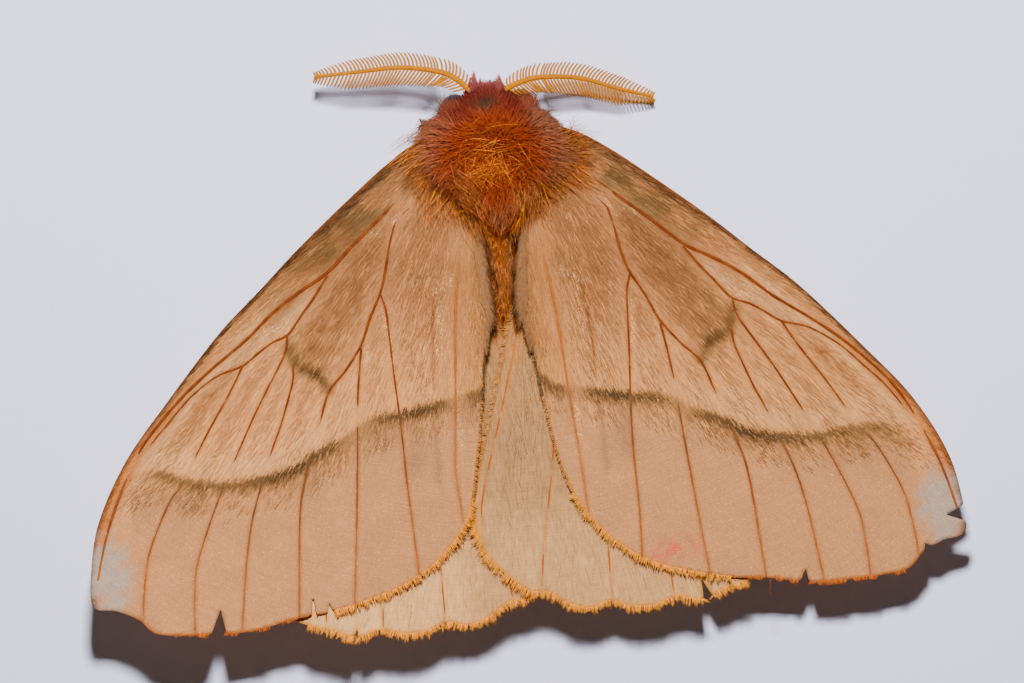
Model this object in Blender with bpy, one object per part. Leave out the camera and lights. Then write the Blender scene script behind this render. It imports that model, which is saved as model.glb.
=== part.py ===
"""A male moth of the family Saturniidae at rest, life size, with its wings spread flat behind it.

The measures below are in millimetres, from a point on the floor under the middle of the thorax:
x to the moth's right, y forward and z up. place() turns them into metres in the part's own frame,
whose origin lies on the floor under the middle of the whole moth.
"""

import math
import random
from functools import partial

import bmesh
import bpy
from mathutils import Matrix, Vector, geometry

MM = 0.001
ORIGIN_BACK = 12.1  # from the middle of the thorax back to the part's origin
GAP = 0.3  # between nodes that meet
ROOT_GAP = 0.36  # between a core and a limb's root
SEED = 11

# The cores of the body under its coat: centre and half sizes of each ovoid.
THORAX_CENTRE = (0.0, 0.0, 5.9)
THORAX_HALF = (4.4, 5.0, 3.9)
HEAD_CENTRE = (-0.3, 4.5, 4.8)
HEAD_HALF = (2.1, 1.4, 1.9)
ABDOMEN_CENTRE = (0.0, -10.6, 2.65)
ABDOMEN_HALF = (2.8, 8.2, 2.75)
ABDOMEN_SLOPE = 0.12  # rise of the abdomen's axis towards the thorax
PALP = ((0.65, 5.2, 3.4), (0.5, 6.0, 3.9))  # right palp, base and tip
PALP_RADII = (0.5, 0.4)

# The thin cuts that part the body.
NECK = (0.0, 4.3, 5.0)
NECK_NORMAL = (0.0, 1.0, -0.35)
WAIST = (0.0, -4.3, 5.0)
WAIST_NORMAL = (0.0, 1.0, 0.45)

EYE_CENTRE = (2.4, 4.6, 4.1)  # from the head's own midline
EYE_RADIUS = 1.0

# Coats of flat, tapered locks: how many go round a whole ovoid, and the size of one.
THORAX_COAT = {"locks": 132, "length": 5.0, "width": 2.3, "thickness": 0.85, "lift": 1.05}
HEAD_COAT = {"locks": 46, "length": 1.6, "width": 1.2, "thickness": 0.6, "lift": 0.6}
ABDOMEN_COAT = {"locks": 74, "length": 3.0, "width": 2.2, "thickness": 0.7, "lift": 0.45}
LOCK_STATIONS = ((0.0, 0.85), (0.4, 1.0), (0.75, 0.6))  # share of the length, and of the full width
LOCK_SINK = 0.6
LOCK_VARIATION = 0.18
BELLY_CLEARANCE = 0.9  # from the coat under the thorax to the floor

# Where the coats have no locks, apart from the cuts between the parts of the body.
WING_ROOT_BARE = {"x": 2.2, "under": 2.6, "over": 0.75}  # from the forewing's upper face
EYE_BARE = 0.72  # share of the head's half width
ABDOMEN_TOP_BARE = 0.75  # shares of the abdomen's half height
ABDOMEN_BELLY_BARE = -0.5

# Long locks set one by one: the tuft beside each antenna, and the crest between the forewings.
HEAD_TUFT = {"x": 0.95, "y": 4.95, "z": 6.1, "length": 1.9, "width": 1.0, "thickness": 0.7}
CREST = {"length": 3.3, "width": 1.3, "thickness": 0.9}
CREST_START = -5.6
CREST_PITCH = 1.15
CREST_ROWS = 4

# Legs, right side: coxa, knee, ankle and toe. The forelegs end in different places.
LEGS = {
    "fore": ((1.4, 2.6, 3.0), (3.3, 3.3, 2.7), (3.9, 3.5, 0.75)),
    "mid": ((2.0, 0.4, 3.0), (5.2, 0.8, 3.9), (6.4, 0.0, 0.75)),
    "hind": ((1.9, -2.4, 3.0), (5.4, -4.2, 3.7), (6.2, -8.0, 0.75)),
}
TOES = {
    "fore": {"left": (-5.2, 3.7, 0.3), "right": (5.0, 2.3, 0.3)},
    "mid": {"left": (-9.2, -1.6, 0.3), "right": (9.2, -1.6, 0.3)},
    "hind": {"left": (-7.4, -11.6, 0.3), "right": (7.4, -11.6, 0.3)},
}
FEMUR_RADII = (0.75, 0.62)
TIBIA_RADII = (0.6, 0.45)
TARSUS_RADII = (0.4, 0.32)

# Antennae: base, bend and tip of each shaft, which are the three controls of a smooth curve.
ANTENNA_SHAFTS = {
    "left": ((-1.5, 5.6, 5.9), (-5.6, 9.3, 5.3), (-12.8, 7.6, 3.6)),
    "right": ((1.0, 5.5, 5.9), (6.2, 7.6, 3.2), (11.9, 4.2, 1.4)),
}
SHAFT_RADII = (0.38, 0.27)
SHAFT_STATIONS = 9
RAY_PAIRS = 13
RAY_LENGTH = 1.6
RAY = {"width": 0.52, "thickness": 0.5}
RAY_FIRST = 0.13  # share of the shaft before the first pair

# Right forewing and hindwing seen from above, from the root's front edge round to its rear.
FOREWING_OUTLINE = (
    (2.6, 3.0), (6.3, 1.75), (10.7, -1.4), (14.7, -4.7), (21.2, -10.5), (25.5, -15.4), (28.8, -19.6),
    (30.9, -23.6), (31.8, -27.4), (31.6, -29.5), (29.4, -30.2), (27.2, -31.6), (24.4, -31.9),
    (20.6, -32.1), (17.3, -31.5), (14.3, -31.2), (10.7, -30.3), (7.4, -28.7), (4.9, -26.4),
    (3.4, -23.6), (2.4, -19.6), (1.7, -14.6), (1.1, -10.6), (1.3, -7.0), (2.0, -3.0),
)
HINDWING_OUTLINE = (
    (2.6, 0.0), (8.0, -4.0), (14.0, -12.0), (17.6, -20.0), (18.8, -26.0), (17.6, -30.0),
    (14.9, -31.9), (12.2, -32.9), (8.9, -32.9), (5.8, -32.6), (4.2, -32.7), (1.3, -31.4),
    (-0.6, -30.9), (-2.6, -29.1), (-3.7, -25.6), (-3.2, -22.2), (-1.8, -17.6), (-0.8, -14.2),
    (0.1, -11.2), (1.6, -8.4), (2.2, -3.0),
)
HINDWING_SHIFT = {"left": (-0.8, -0.55), "right": (0.0, 0.0)}

# Tears in the margins: the inner end and the width of each, seen from above.
TEARS = {
    "forewing_left": (((-22.5, -30.4), 1.3), ((-17.2, -30.2), 0.9), ((-29.6, -29.0), 1.0)),
    "forewing_right": (((30.3, -28.2), 1.1), ((19.8, -30.9), 1.0)),
    "hindwing_left": (((-12.9, -32.3), 0.8), ((-6.6, -32.9), 0.7)),
    "hindwing_right": (((12.2, -31.3), 0.8), ((5.4, -31.9), 0.8)),
}

# Main veins of the right wings, as the controls of smooth curves.
FOREWING_VEINS = (
    ((3.6, 0.6), (7.0, -1.8), (12.9, -6.9), (21.0, -12.4), (27.9, -19.8), (31.1, -26.6)),
    ((12.9, -6.9), (16.1, -11.1), (19.5, -13.0), (24.8, -16.6), (28.2, -20.5)),
    ((19.5, -13.0), (22.0, -17.1), (25.7, -22.5), (27.6, -26.6), (28.0, -29.9)),
    ((16.1, -11.1), (17.4, -14.2), (21.0, -20.3), (23.8, -26.8), (24.5, -31.3)),
    ((15.9, -13.2), (18.0, -19.5), (20.3, -26.5), (21.1, -31.4)),
    ((3.9, -0.6), (7.6, -4.0), (9.1, -8.5), (13.5, -15.5), (16.2, -24.0), (16.9, -30.8)),
    ((10.6, -12.0), (11.2, -15.6), (12.2, -23.3), (12.9, -30.2)),
    ((8.9, -8.6), (8.4, -11.8), (8.2, -20.4), (8.1, -28.5)),
    ((2.9, -2.0), (2.8, -6.5), (3.6, -12.7), (4.1, -20.0), (4.5, -25.1)),
    ((16.1, -11.4), (15.4, -13.5), (13.6, -15.3)),
)
HINDWING_VEINS = (
    ((2.6, -3.0), (0.4, -11.4), (-1.1, -17.5), (-3.1, -24.6), (-3.2, -27.0)),
    ((2.9, -3.4), (2.6, -14.0), (1.9, -23.5), (0.7, -30.6)),
    ((3.4, -3.6), (5.2, -16.0), (5.7, -26.0), (5.7, -32.2)),
    ((3.8, -3.4), (7.8, -14.0), (9.8, -24.0), (10.2, -32.4)),
    ((4.2, -3.2), (10.6, -13.0), (13.3, -23.0), (14.4, -31.6)),
    ((4.6, -2.8), (12.2, -12.0), (16.0, -21.0), (17.3, -28.6)),
)
VEIN_STEP = 2.7
VEIN_HALF_WIDTH = 0.32
VEIN_MARGIN = 0.35  # between a vein's end and the wing's edge
FOREWING_RIDGE = 0.22
WINGS = {
    "forewing": {"outline": FOREWING_OUTLINE, "veins": FOREWING_VEINS, "ridge": FOREWING_RIDGE},
    "hindwing": {"outline": HINDWING_OUTLINE, "veins": HINDWING_VEINS, "ridge": 0.15},
}

WING_THICKNESS = 0.5
WING_ROOT = (3.5, 1.0)
WING_LENGTH = 41.0
WING_ROOT_HEIGHT = 7.9
WING_TIP_DROP = 1.7
LEFT_TIP_RISE = 3.0  # the left wings curl up towards the tip by this much
LEFT_RISE_ZONE = (4.0, 16.0)  # from the midline, where the rise begins and where it is whole
COSTA_DROOP = 0.8
COSTA_DROOP_WIDTH = 4.0
COSTA_RUN = 29.0  # how far out and back the front edge runs
COSTA_BOW = 3.2  # how far it bows forward of a straight line
STACK_PITCH = 1.0  # from the top of one wing to the top of the one below it
OUTLINE_STEP = 1.7
GRID_STEP = 3.2
GRID_CLEARANCE = 1.1

COLOURS = {
    "coat_red": ((0.36, 0.075, 0.02), 0.8),
    "coat_orange": ((0.42, 0.17, 0.06), 0.8),
    "wing_tan": ((0.55, 0.34, 0.2), 0.65),
    "hindwing_tan": ((0.56, 0.4, 0.24), 0.65),
    "comb_yellow": ((0.72, 0.36, 0.03), 0.5),
    "leg_brown": ((0.2, 0.1, 0.05), 0.7),
    "eye_dark": ((0.03, 0.02, 0.015), 0.25),
}


def place(point):
    """A point in millimetres from under the thorax, as metres in the part's frame."""
    return Vector((point[0], point[1] + ORIGIN_BACK, point[2])) * MM


def mirrored(points, side):
    return [(-p[0], *p[1:]) if side == "left" else tuple(p) for p in points]


def smooth_step(value, low, high):
    share = min(max((value - low) / (high - low), 0.0), 1.0)
    return share * share * (3 - 2 * share)


def clear_scene():
    for obj in list(bpy.data.objects):
        bpy.data.objects.remove(obj)


def collection(name):
    made = bpy.data.collections.new(name)
    bpy.context.scene.collection.children.link(made)
    return made


def material(name):
    if name in bpy.data.materials:
        return bpy.data.materials[name]
    made = bpy.data.materials.new(name)
    made.use_nodes = True
    shader = made.node_tree.nodes["Principled BSDF"]
    colour, roughness = COLOURS[name]
    shader.inputs["Base Color"].default_value = (*colour, 1.0)
    shader.inputs["Roughness"].default_value = roughness
    shader.inputs["Metallic"].default_value = 0.0
    return made


def object_of(name, edit):
    """A new object with that bmesh, facing outwards."""
    bmesh.ops.recalc_face_normals(edit, faces=edit.faces)
    mesh = bpy.data.meshes.new(name)
    edit.to_mesh(mesh)
    edit.free()
    obj = bpy.data.objects.new(name, mesh)
    bpy.data.collections["moth"].objects.link(obj)
    return obj


def ovoid(name, centre, half, grow=0.0, slope=0.0, segments=(20, 11)):
    """A closed ovoid whose half sizes are widened by grow. A slope raises its front end."""
    edit = bmesh.new()
    bmesh.ops.create_uvsphere(edit, u_segments=segments[0], v_segments=segments[1], radius=1.0)
    for vertex in edit.verts:
        x, y, z = (c * (h + grow) for c, h in zip(vertex.co, half))
        vertex.co = place((centre[0] + x, centre[1] + y, centre[2] + z + slope * y))
    return object_of(name, edit)


def loft(name, rings):
    """A closed tube through rings of points. A ring of one point closes it to a tip."""
    edit = bmesh.new()
    made = [[edit.verts.new(place(p)) for p in ring] for ring in rings]
    for near, far in zip(made, made[1:]):
        count = len(near)
        for i in range(count):
            j = (i + 1) % count
            if len(far) == 1:
                edit.faces.new((near[i], near[j], far[0]))
            else:
                edit.faces.new((near[i], near[j], far[j], far[i]))
    edit.faces.new(made[0])
    if len(made[-1]) > 1:
        edit.faces.new(made[-1])
    return object_of(name, edit)


def ring_round(centre, along, radius, sides):
    side = along.orthogonal().normalized()
    up = along.cross(side)
    turns = [2 * math.pi * k / sides for k in range(sides)]
    return [centre + (side * math.cos(t) + up * math.sin(t)) * radius for t in turns]


def rod(name, start, end, radii, grow=0.0, sides=8):
    """A tapered rod with rounded ends."""
    a, b = Vector(start), Vector(end)
    along = (b - a).normalized()
    near, far = (radius + grow for radius in radii)
    cap_length, cap_radius = 0.7, 0.55
    stations = (
        (a - along * near * cap_length, near * cap_radius),
        (a, near),
        (b, far),
        (b + along * far * cap_length, far * cap_radius),
    )
    return loft(name, [ring_round(centre, along, radius, sides) for centre, radius in stations])


def combine(obj, others, operation, solver="EXACT"):
    """Joins the other objects to obj, or cuts them from it, and removes them."""
    helpers = collection("cutters")
    for other in others:
        other.hide_render = True
        other.display_type = "WIRE"
        helpers.objects.link(other)
    modifier = obj.modifiers.new("combine", "BOOLEAN")
    modifier.operation = operation
    modifier.operand_type = "COLLECTION"
    modifier.collection = helpers
    modifier.solver = solver
    bpy.context.view_layer.objects.active = obj
    bpy.ops.object.modifier_apply(modifier=modifier.name)
    for other in list(helpers.objects):
        bpy.data.objects.remove(other)
    bpy.data.collections.remove(helpers)
    return obj


def keep_largest(obj):
    """Keeps the closed surface with the most volume, which drops scraps and fills sealed hollows."""
    edit = bmesh.new()
    edit.from_mesh(obj.data)
    bmesh.ops.triangulate(edit, faces=edit.faces)
    islands, seen = [], set()
    for start in edit.faces:
        if start in seen:
            continue
        seen.add(start)
        island, front = [start], [start]
        while front:
            face = front.pop()
            for edge in face.edges:
                for beside in edge.link_faces:
                    if beside not in seen:
                        seen.add(beside)
                        island.append(beside)
                        front.append(beside)
        islands.append(island)

    def volume(island):
        return sum(f.verts[0].co.dot(f.verts[1].co.cross(f.verts[2].co)) for f in island)

    largest = set(max(islands, key=volume))
    bmesh.ops.delete(edit, geom=[f for f in edit.faces if f not in largest], context="FACES")
    edit.to_mesh(obj.data)
    edit.free()
    return obj


def copy_of(obj, name):
    made = bpy.data.objects.new(name, obj.data.copy())
    bpy.data.collections["moth"].objects.link(made)
    return made


def block_beyond(point, normal):
    """A large block that fills the space past a plane, on the side that the normal points to."""
    edit = bmesh.new()
    bmesh.ops.create_cube(edit, size=1.0)
    size = 120.0 * MM
    turn = Vector(normal).to_track_quat("Z", "Y").to_matrix().to_4x4()
    shift = Matrix.Translation((0.0, 0.0, 0.5))
    matrix = Matrix.Translation(place(point)) @ turn @ Matrix.Scale(size, 4) @ shift
    bmesh.ops.transform(edit, verts=edit.verts, matrix=matrix)
    return object_of("beyond", edit)


def finish(obj, colour):
    obj.data.materials.clear()
    obj.data.materials.append(material(colour))
    obj.data.shade_smooth()
    obj.data.set_sharp_from_angle(angle=math.radians(40))


def forewing_top(x, y):
    """Height of the upper face of a forewing: a low tent that drops to the tip and the front edge.

    The left one curls up again before its tip.
    """
    out = abs(x) - WING_ROOT[0]
    back = y - WING_ROOT[1]
    reach = math.hypot(out, back) / WING_LENGTH
    share = min(max((out - back) / (2 * COSTA_RUN), 0.0), 1.0)
    behind = (-out - back) / math.sqrt(2) + COSTA_BOW * math.sin(math.pi * share)
    droop = COSTA_DROOP * max(0.0, 1.0 - max(behind, 0.0) / COSTA_DROOP_WIDTH) ** 2
    rise = LEFT_TIP_RISE * reach**4 * smooth_step(-x, *LEFT_RISE_ZONE)
    return WING_ROOT_HEIGHT - WING_TIP_DROP * reach**1.5 - droop + rise


def hindwing_top(x, y, side):
    """Height of the upper face of a hindwing. The left one dips under the right one at the midline."""
    top = forewing_top(x, y) - STACK_PITCH
    if side == "left":
        top -= STACK_PITCH * smooth_step(x, -7.8, -4.4) * smooth_step(-y, 4.5, 8.3)
    return top


def smooth_line(controls, step):
    """Points about a step apart along the smooth curve through the controls."""
    points = []
    last = len(controls) - 1
    for i in range(last):
        before = Vector(controls[max(i - 1, 0)])
        start, end = Vector(controls[i]), Vector(controls[i + 1])
        after = Vector(controls[min(i + 2, last)])
        count = max(1, round((end - start).length / step))
        for k in range(count):
            t = k / count
            square = (2 * before - 5 * start + 4 * end - after) * t * t
            cube = (3 * start - before - 3 * end + after) * t**3
            points.append(0.5 * (2 * start + (end - before) * t + square + cube))
    points.append(Vector(controls[last]))
    return points


def offset_line(points, distance):
    """The line moved sideways, to the left of its run."""
    moved = []
    for i, point in enumerate(points):
        chord = points[min(i + 1, len(points) - 1)] - points[max(i - 1, 0)]
        moved.append(point + Vector((-chord.y, chord.x)).normalized() * distance)
    return moved


def covers(outline, x, y):
    """Whether the point lies inside the closed outline."""
    within = False
    for a, b in zip(outline, (*outline[1:], outline[0])):
        if (a[1] > y) != (b[1] > y) and x < a[0] + (y - a[1]) * (b[0] - a[0]) / (b[1] - a[1]):
            within = not within
    return within


def line_distance(point, lines):
    """How far the point is from the nearest of the lines."""
    nearest = math.inf
    for line in lines:
        for a, b in zip(line, line[1:]):
            along = b - a
            share = min(max((point - a).dot(along) / along.length_squared, 0.0), 1.0)
            nearest = min(nearest, (point - a - along * share).length)
    return nearest


def torn(points, tears):
    """The outline with a narrow notch for each tear."""
    for inner, width in tears:
        inner = Vector(inner)
        mouth = min(points, key=lambda p: (p - inner).length)
        at = points.index(mouth)
        chord = (points[at + 1] - points[at - 1]).normalized() * width / 2
        points = points[:at] + [mouth - chord, inner, mouth + chord] + points[at + 1 :]
    return points


def membrane(name, points, inner_lines, top_of, ridge_of, grow=0.0):
    """A plate of even thickness over an outline. Both of its faces are split into like triangles."""
    count = len(points)
    edges = [(i, (i + 1) % count) for i in range(count)]
    spots = list(points)
    for line in inner_lines:
        first = len(spots)
        spots += line
        edges += [(k, k + 1) for k in range(first, len(spots) - 1)]
    low_x, high_x = min(p.x for p in points), max(p.x for p in points)
    low_y, high_y = min(p.y for p in points), max(p.y for p in points)
    rim = [*points, points[0]]
    for i in range(int((high_x - low_x) / GRID_STEP)):
        for j in range(int((high_y - low_y) / GRID_STEP)):
            spot = Vector((low_x + (i + 0.5) * GRID_STEP, low_y + (j + 0.5) * GRID_STEP))
            if line_distance(spot, [rim, *inner_lines]) > GRID_CLEARANCE:
                spots.append(spot)
    flat, _, faces, _, _, _ = geometry.delaunay_2d_cdt(spots, edges, [], 1, 1e-4)
    edit = bmesh.new()
    upper, lower = {}, {}
    for v in sorted({v for face in faces for v in face}):
        x, y = flat[v]
        top = top_of(x, y)
        upper[v] = edit.verts.new(place((x, y, top + ridge_of(flat[v]) + grow)))
        lower[v] = edit.verts.new(place((x, y, top - WING_THICKNESS - grow)))
    sides = set()
    for face in faces:
        edit.faces.new([upper[v] for v in face])
        edit.faces.new([lower[v] for v in reversed(face)])
        sides.update(zip(face, (*face[1:], face[0])))
    for a, b in sorted(sides):
        if (b, a) not in sides:
            edit.faces.new((upper[a], lower[a], lower[b], upper[b]))
    return object_of(name, edit)


def wing(kind, side, shift, top_of):
    """A wing with its veins raised in the upper face, and the plain solid of the room that it needs."""
    plan = WINGS[kind]
    name = f"{kind}_{side}"
    flip = -1.0 if side == "left" else 1.0

    def here(controls, step):
        return [Vector((p.x * flip + shift[0], p.y + shift[1])) for p in smooth_line(controls, step)]

    edge = here(plan["outline"], OUTLINE_STEP)
    points = torn(edge, TEARS[name])
    rim = [*points, points[0]]

    def within(spot):
        return covers(points, spot.x, spot.y) and line_distance(spot, [rim]) > VEIN_MARGIN

    lines, crests = [], []
    for controls in plan["veins"]:
        crest = here(controls, VEIN_STEP)
        crests.append(crest)
        for distance in (-VEIN_HALF_WIDTH, 0.0, VEIN_HALF_WIDTH):
            lines.append([p for p in offset_line(crest, distance) if within(p)])

    def ridge(spot):
        return plan["ridge"] * max(0.0, 1.0 - line_distance(spot, crests) / VEIN_HALF_WIDTH)

    made = membrane(name, points, lines, top_of, ridge)
    grown = offset_line([*edge, edge[0]], GAP * flip)[:-1]
    room = membrane("room", grown, [], top_of, lambda spot: plan["ridge"], GAP)
    return made, room


def lock(name, root, start, end, flat, style, clear):
    """A flat lock that leaves its root along start, bends over to end and tapers to a point."""
    def spine(share):
        return clear(root + (start * share + (end - start) * share * share / 2) * style["length"])

    rings = []
    for share, fullness in LOCK_STATIONS:
        along = start.lerp(end, share).normalized()
        across = along.cross(flat).normalized() * fullness * style["width"] / 2
        out = across.cross(along).normalized() * fullness * style["thickness"] / 2
        centre = spine(share)
        rings.append([centre + across, centre + out, centre - across, centre - out])
    rings.append([spine(1.0)])
    return loft(name, rings)


def clear_of_wings(above, room):
    """A function that lifts a point over the forewing under it, or lowers it under the hindwing."""
    def cleared(point):
        level = point.z
        if covers(FOREWING_OUTLINE, abs(point.x), point.y):
            if above:
                level = max(level, forewing_top(point.x, point.y) + FOREWING_RIDGE + GAP + room)
            else:
                lowest = hindwing_top(point.x, point.y, "left") - WING_THICKNESS
                level = min(level, lowest - GAP - room)
        return Vector((point.x, point.y, max(level, BELLY_CLEARANCE)))

    return cleared


def coat(centre, half, slope, style, lie, bare, seed):
    """Locks spread evenly over an ovoid. lie says which way they lie, and bare leaves some out."""
    draw = random.Random(seed)
    golden = math.pi * (3 - math.sqrt(5))
    locks = []
    for i in range(style["locks"]):
        across = 1 - 2 * (i + 0.5) / style["locks"]
        ring = math.sqrt(1 - across * across)
        spot = Vector((ring * math.cos(golden * i), across, ring * math.sin(golden * i)))
        size = {key: value * (1 + LOCK_VARIATION * draw.uniform(-1, 1)) for key, value in style.items()}
        surface = Vector([c + s * h for c, s, h in zip(centre, spot, half)])
        surface.z += slope * spot.y * half[1]
        normal = Vector([s / h for s, h in zip(spot, half)]).normalized()
        if bare(spot, surface):
            continue
        way = lie(spot)
        way = (way - normal * way.dot(normal)).normalized()
        start = (normal * size["lift"] + way * (1 - size["lift"] / 2)).normalized()
        end = (way + normal * size["lift"] / 5).normalized()
        above = surface.z > forewing_top(surface.x, surface.y)
        clear = clear_of_wings(above, size["thickness"] / 2)
        locks.append(lock("lock", surface - normal * LOCK_SINK, start, end, normal, size, clear))
    return locks


def thorax_lie(spot):
    """Forward over the neck, out over the wing roots, and in to a point at the rear."""
    forward = -1.0 + 1.9 * smooth_step(spot.y, 0.3, 0.75)
    outward = spot.x * (0.9 - 1.4 * smooth_step(-spot.y, 0.2, 0.8))
    return Vector((outward, forward, -0.25 if spot.z > 0 else -0.6))


def thorax_bare(spot, surface):
    past_neck = (surface - Vector(NECK)).dot(Vector(NECK_NORMAL)) > -GAP
    past_waist = (surface - Vector(WAIST)).dot(Vector(WAIST_NORMAL)) < GAP
    over = surface.z - forewing_top(surface.x, surface.y)
    level_with_wing = -WING_ROOT_BARE["under"] < over < WING_ROOT_BARE["over"]
    return past_neck or past_waist or (level_with_wing and abs(surface.x) > WING_ROOT_BARE["x"])


def head_lie(spot):
    return Vector((0.5 * spot.x, 0.9, -0.5 if spot.z > 0 else 0.3))


def head_bare(spot, surface):
    past_neck = (surface - Vector(NECK)).dot(Vector(NECK_NORMAL)) < GAP
    return past_neck or abs(spot.x) > EYE_BARE


def abdomen_lie(spot):
    return Vector((0.2 * spot.x, -1.0, -0.15))


def abdomen_bare(spot, surface):
    past_waist = (surface - Vector(WAIST)).dot(Vector(WAIST_NORMAL)) > -GAP
    return past_waist or not ABDOMEN_BELLY_BARE < spot.z < ABDOMEN_TOP_BARE


def head_pieces():
    pieces = [ovoid("head", HEAD_CENTRE, HEAD_HALF)]
    pieces += coat(HEAD_CENTRE, HEAD_HALF, 0.0, HEAD_COAT, head_lie, head_bare, SEED)
    for side in ("left", "right"):
        base, tip = (Vector(p) + Vector((HEAD_CENTRE[0], 0, 0)) for p in mirrored(PALP, side))
        pieces.append(rod("palp", base, tip, PALP_RADII, sides=6))
        outward = -1.0 if side == "left" else 1.0
        root = Vector((HEAD_CENTRE[0] + outward * HEAD_TUFT["x"], HEAD_TUFT["y"], HEAD_TUFT["z"]))
        start = Vector((0.0, 0.75, 0.5)).normalized()
        end = Vector((outward * 0.1, 0.9, 0.1)).normalized()
        pieces.append(lock("tuft", root, start, end, Vector((0, 0, 1)), HEAD_TUFT, Vector))
    return pieces


def thorax_pieces():
    core = ovoid("thorax", THORAX_CENTRE, THORAX_HALF)
    return [core, *coat(THORAX_CENTRE, THORAX_HALF, 0.0, THORAX_COAT, thorax_lie, thorax_bare, SEED + 1)]


def abdomen_pieces():
    shape = (ABDOMEN_CENTRE, ABDOMEN_HALF, ABDOMEN_SLOPE)
    pieces = [ovoid("abdomen", ABDOMEN_CENTRE, ABDOMEN_HALF, slope=ABDOMEN_SLOPE)]
    pieces += coat(*shape, ABDOMEN_COAT, abdomen_lie, abdomen_bare, SEED + 2)
    start = Vector((0.0, -0.5, 0.85)).normalized()
    end = Vector((0.0, -1.0, 0.0))
    for row in range(CREST_ROWS):
        y = CREST_START - row * CREST_PITCH
        share = (y - ABDOMEN_CENTRE[1]) / ABDOMEN_HALF[1]
        top = ABDOMEN_CENTRE[2] + ABDOMEN_HALF[2] * math.sqrt(1 - share * share)
        top += ABDOMEN_SLOPE * (y - ABDOMEN_CENTRE[1])
        for x in (-0.45, 0.45) if row % 2 else (0.0,):
            root = Vector((x, y, top - LOCK_SINK))
            pieces.append(lock("crest", root, start, end, Vector((0, 0, 1)), CREST, Vector))
    return pieces


def curve_point(shaft, share):
    """The place on a shaft's curve, and the way that the shaft runs there."""
    base, bend, tip = (Vector(p) for p in shaft)
    rest = 1 - share
    place_on = rest * rest * base + 2 * rest * share * bend + share * share * tip
    along = (rest * (bend - base) + share * (tip - bend)).normalized()
    return place_on, along


def antenna_pieces(side, grow=0.0):
    """The shaft and its rays, in pairs that lean to the tip and curve on over it."""
    shaft = ANTENNA_SHAFTS[side]
    near, far = SHAFT_RADII
    rings = []
    for k in range(SHAFT_STATIONS):
        share = k / (SHAFT_STATIONS - 1)
        centre, along = curve_point(shaft, share)
        rings.append(ring_round(centre, along, near + (far - near) * share + grow, 6))
    pieces = [loft(f"antenna_{side}", rings)]
    for k in range(RAY_PAIRS):
        share = RAY_FIRST + (1 - RAY_FIRST) * (k + 0.4) / RAY_PAIRS
        centre, along = curve_point(shaft, share)
        across = along.cross(Vector((0, 0, 1))).normalized()
        up = across.cross(along)
        length = RAY_LENGTH * (0.4 + 0.6 * math.sin(math.pi * share**0.8) ** 0.8)
        style = {key: value + 2 * grow for key, value in RAY.items()} | {"length": length}
        for turn in (-1.0, 1.0):
            start = (across * turn * 0.95 + along * 0.3).normalized()
            end = (across * turn * 0.7 + along * 0.75).normalized()
            pieces.append(lock("ray", centre, start, end, up, style, Vector))
    return pieces


def leg_pieces(pair, side, grow=0.0):
    coxa, knee, ankle = mirrored(LEGS[pair], side)
    return [
        rod(f"leg_{pair}_{side}", coxa, knee, FEMUR_RADII, grow),
        rod("tibia", knee, ankle, TIBIA_RADII, grow),
        rod("tarsus", ankle, TOES[pair][side], TARSUS_RADII, grow),
    ]


def fused(pieces):
    return combine(pieces[0], pieces[1:], "UNION", "MANIFOLD") if len(pieces) > 1 else pieces[0]


def limb(pieces, room_pieces, core, colour):
    """Cuts a limb clear of the core that it grows from. Gives it and the room that it needs."""
    made, room = fused(pieces), fused(room_pieces)
    centre, half = core
    floor = block_beyond((0, 0, 0), (0, 0, -1))
    combine(made, [ovoid("root", centre, half, ROOT_GAP), floor], "DIFFERENCE", "MANIFOLD")
    combine(room, [ovoid("root", centre, half, ROOT_GAP - GAP)], "DIFFERENCE", "MANIFOLD")
    finish(keep_largest(made), colour)
    return keep_largest(room)


def body_node(pieces, planes, rooms, colour):
    """Fuses a part of the body, trims it at its planes and cuts it clear of what it meets."""
    node = fused(pieces)
    for point, normal, sign in planes:
        facing = Vector(normal).normalized() * sign
        combine(node, [block_beyond(Vector(point) - facing * GAP / 2, facing)], "DIFFERENCE", "MANIFOLD")
    combine(node, [block_beyond((0, 0, 0), (0, 0, -1))], "DIFFERENCE", "MANIFOLD")
    for room in rooms:
        combine(node, [copy_of(room, "room")], "DIFFERENCE", "MANIFOLD")
    finish(keep_largest(node), colour)


def main():
    clear_scene()
    collection("moth")
    thorax_core = (THORAX_CENTRE, THORAX_HALF)
    head_core = (HEAD_CENTRE, HEAD_HALF)
    rooms = []
    for side in ("left", "right"):
        forewing, room = wing("forewing", side, (0.0, 0.0), forewing_top)
        rooms.append(limb([forewing], [room], thorax_core, "wing_tan"))
        hindwing, room = wing("hindwing", side, HINDWING_SHIFT[side], partial(hindwing_top, side=side))
        rooms.append(limb([hindwing], [room], thorax_core, "hindwing_tan"))
        for pair in LEGS:
            pieces, room_pieces = leg_pieces(pair, side), leg_pieces(pair, side, GAP)
            rooms.append(limb(pieces, room_pieces, thorax_core, "leg_brown"))
        pieces, room_pieces = antenna_pieces(side), antenna_pieces(side, GAP)
        rooms.append(limb(pieces, room_pieces, head_core, "comb_yellow"))
        centre = Vector(mirrored([EYE_CENTRE], side)[0]) + Vector((HEAD_CENTRE[0], 0, 0))
        round_eye = (EYE_RADIUS,) * 3
        finish(ovoid(f"eye_{side}", centre, round_eye, segments=(14, 9)), "eye_dark")
        rooms.append(ovoid("eye_room", centre, round_eye, GAP, segments=(14, 9)))
    body_node(head_pieces(), [(NECK, NECK_NORMAL, -1)], rooms, "coat_red")
    body_node(thorax_pieces(), [(NECK, NECK_NORMAL, 1), (WAIST, WAIST_NORMAL, -1)], rooms, "coat_red")
    body_node(abdomen_pieces(), [(WAIST, WAIST_NORMAL, 1)], rooms, "coat_orange")
    for room in rooms:
        bpy.data.objects.remove(room)


main()
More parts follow.
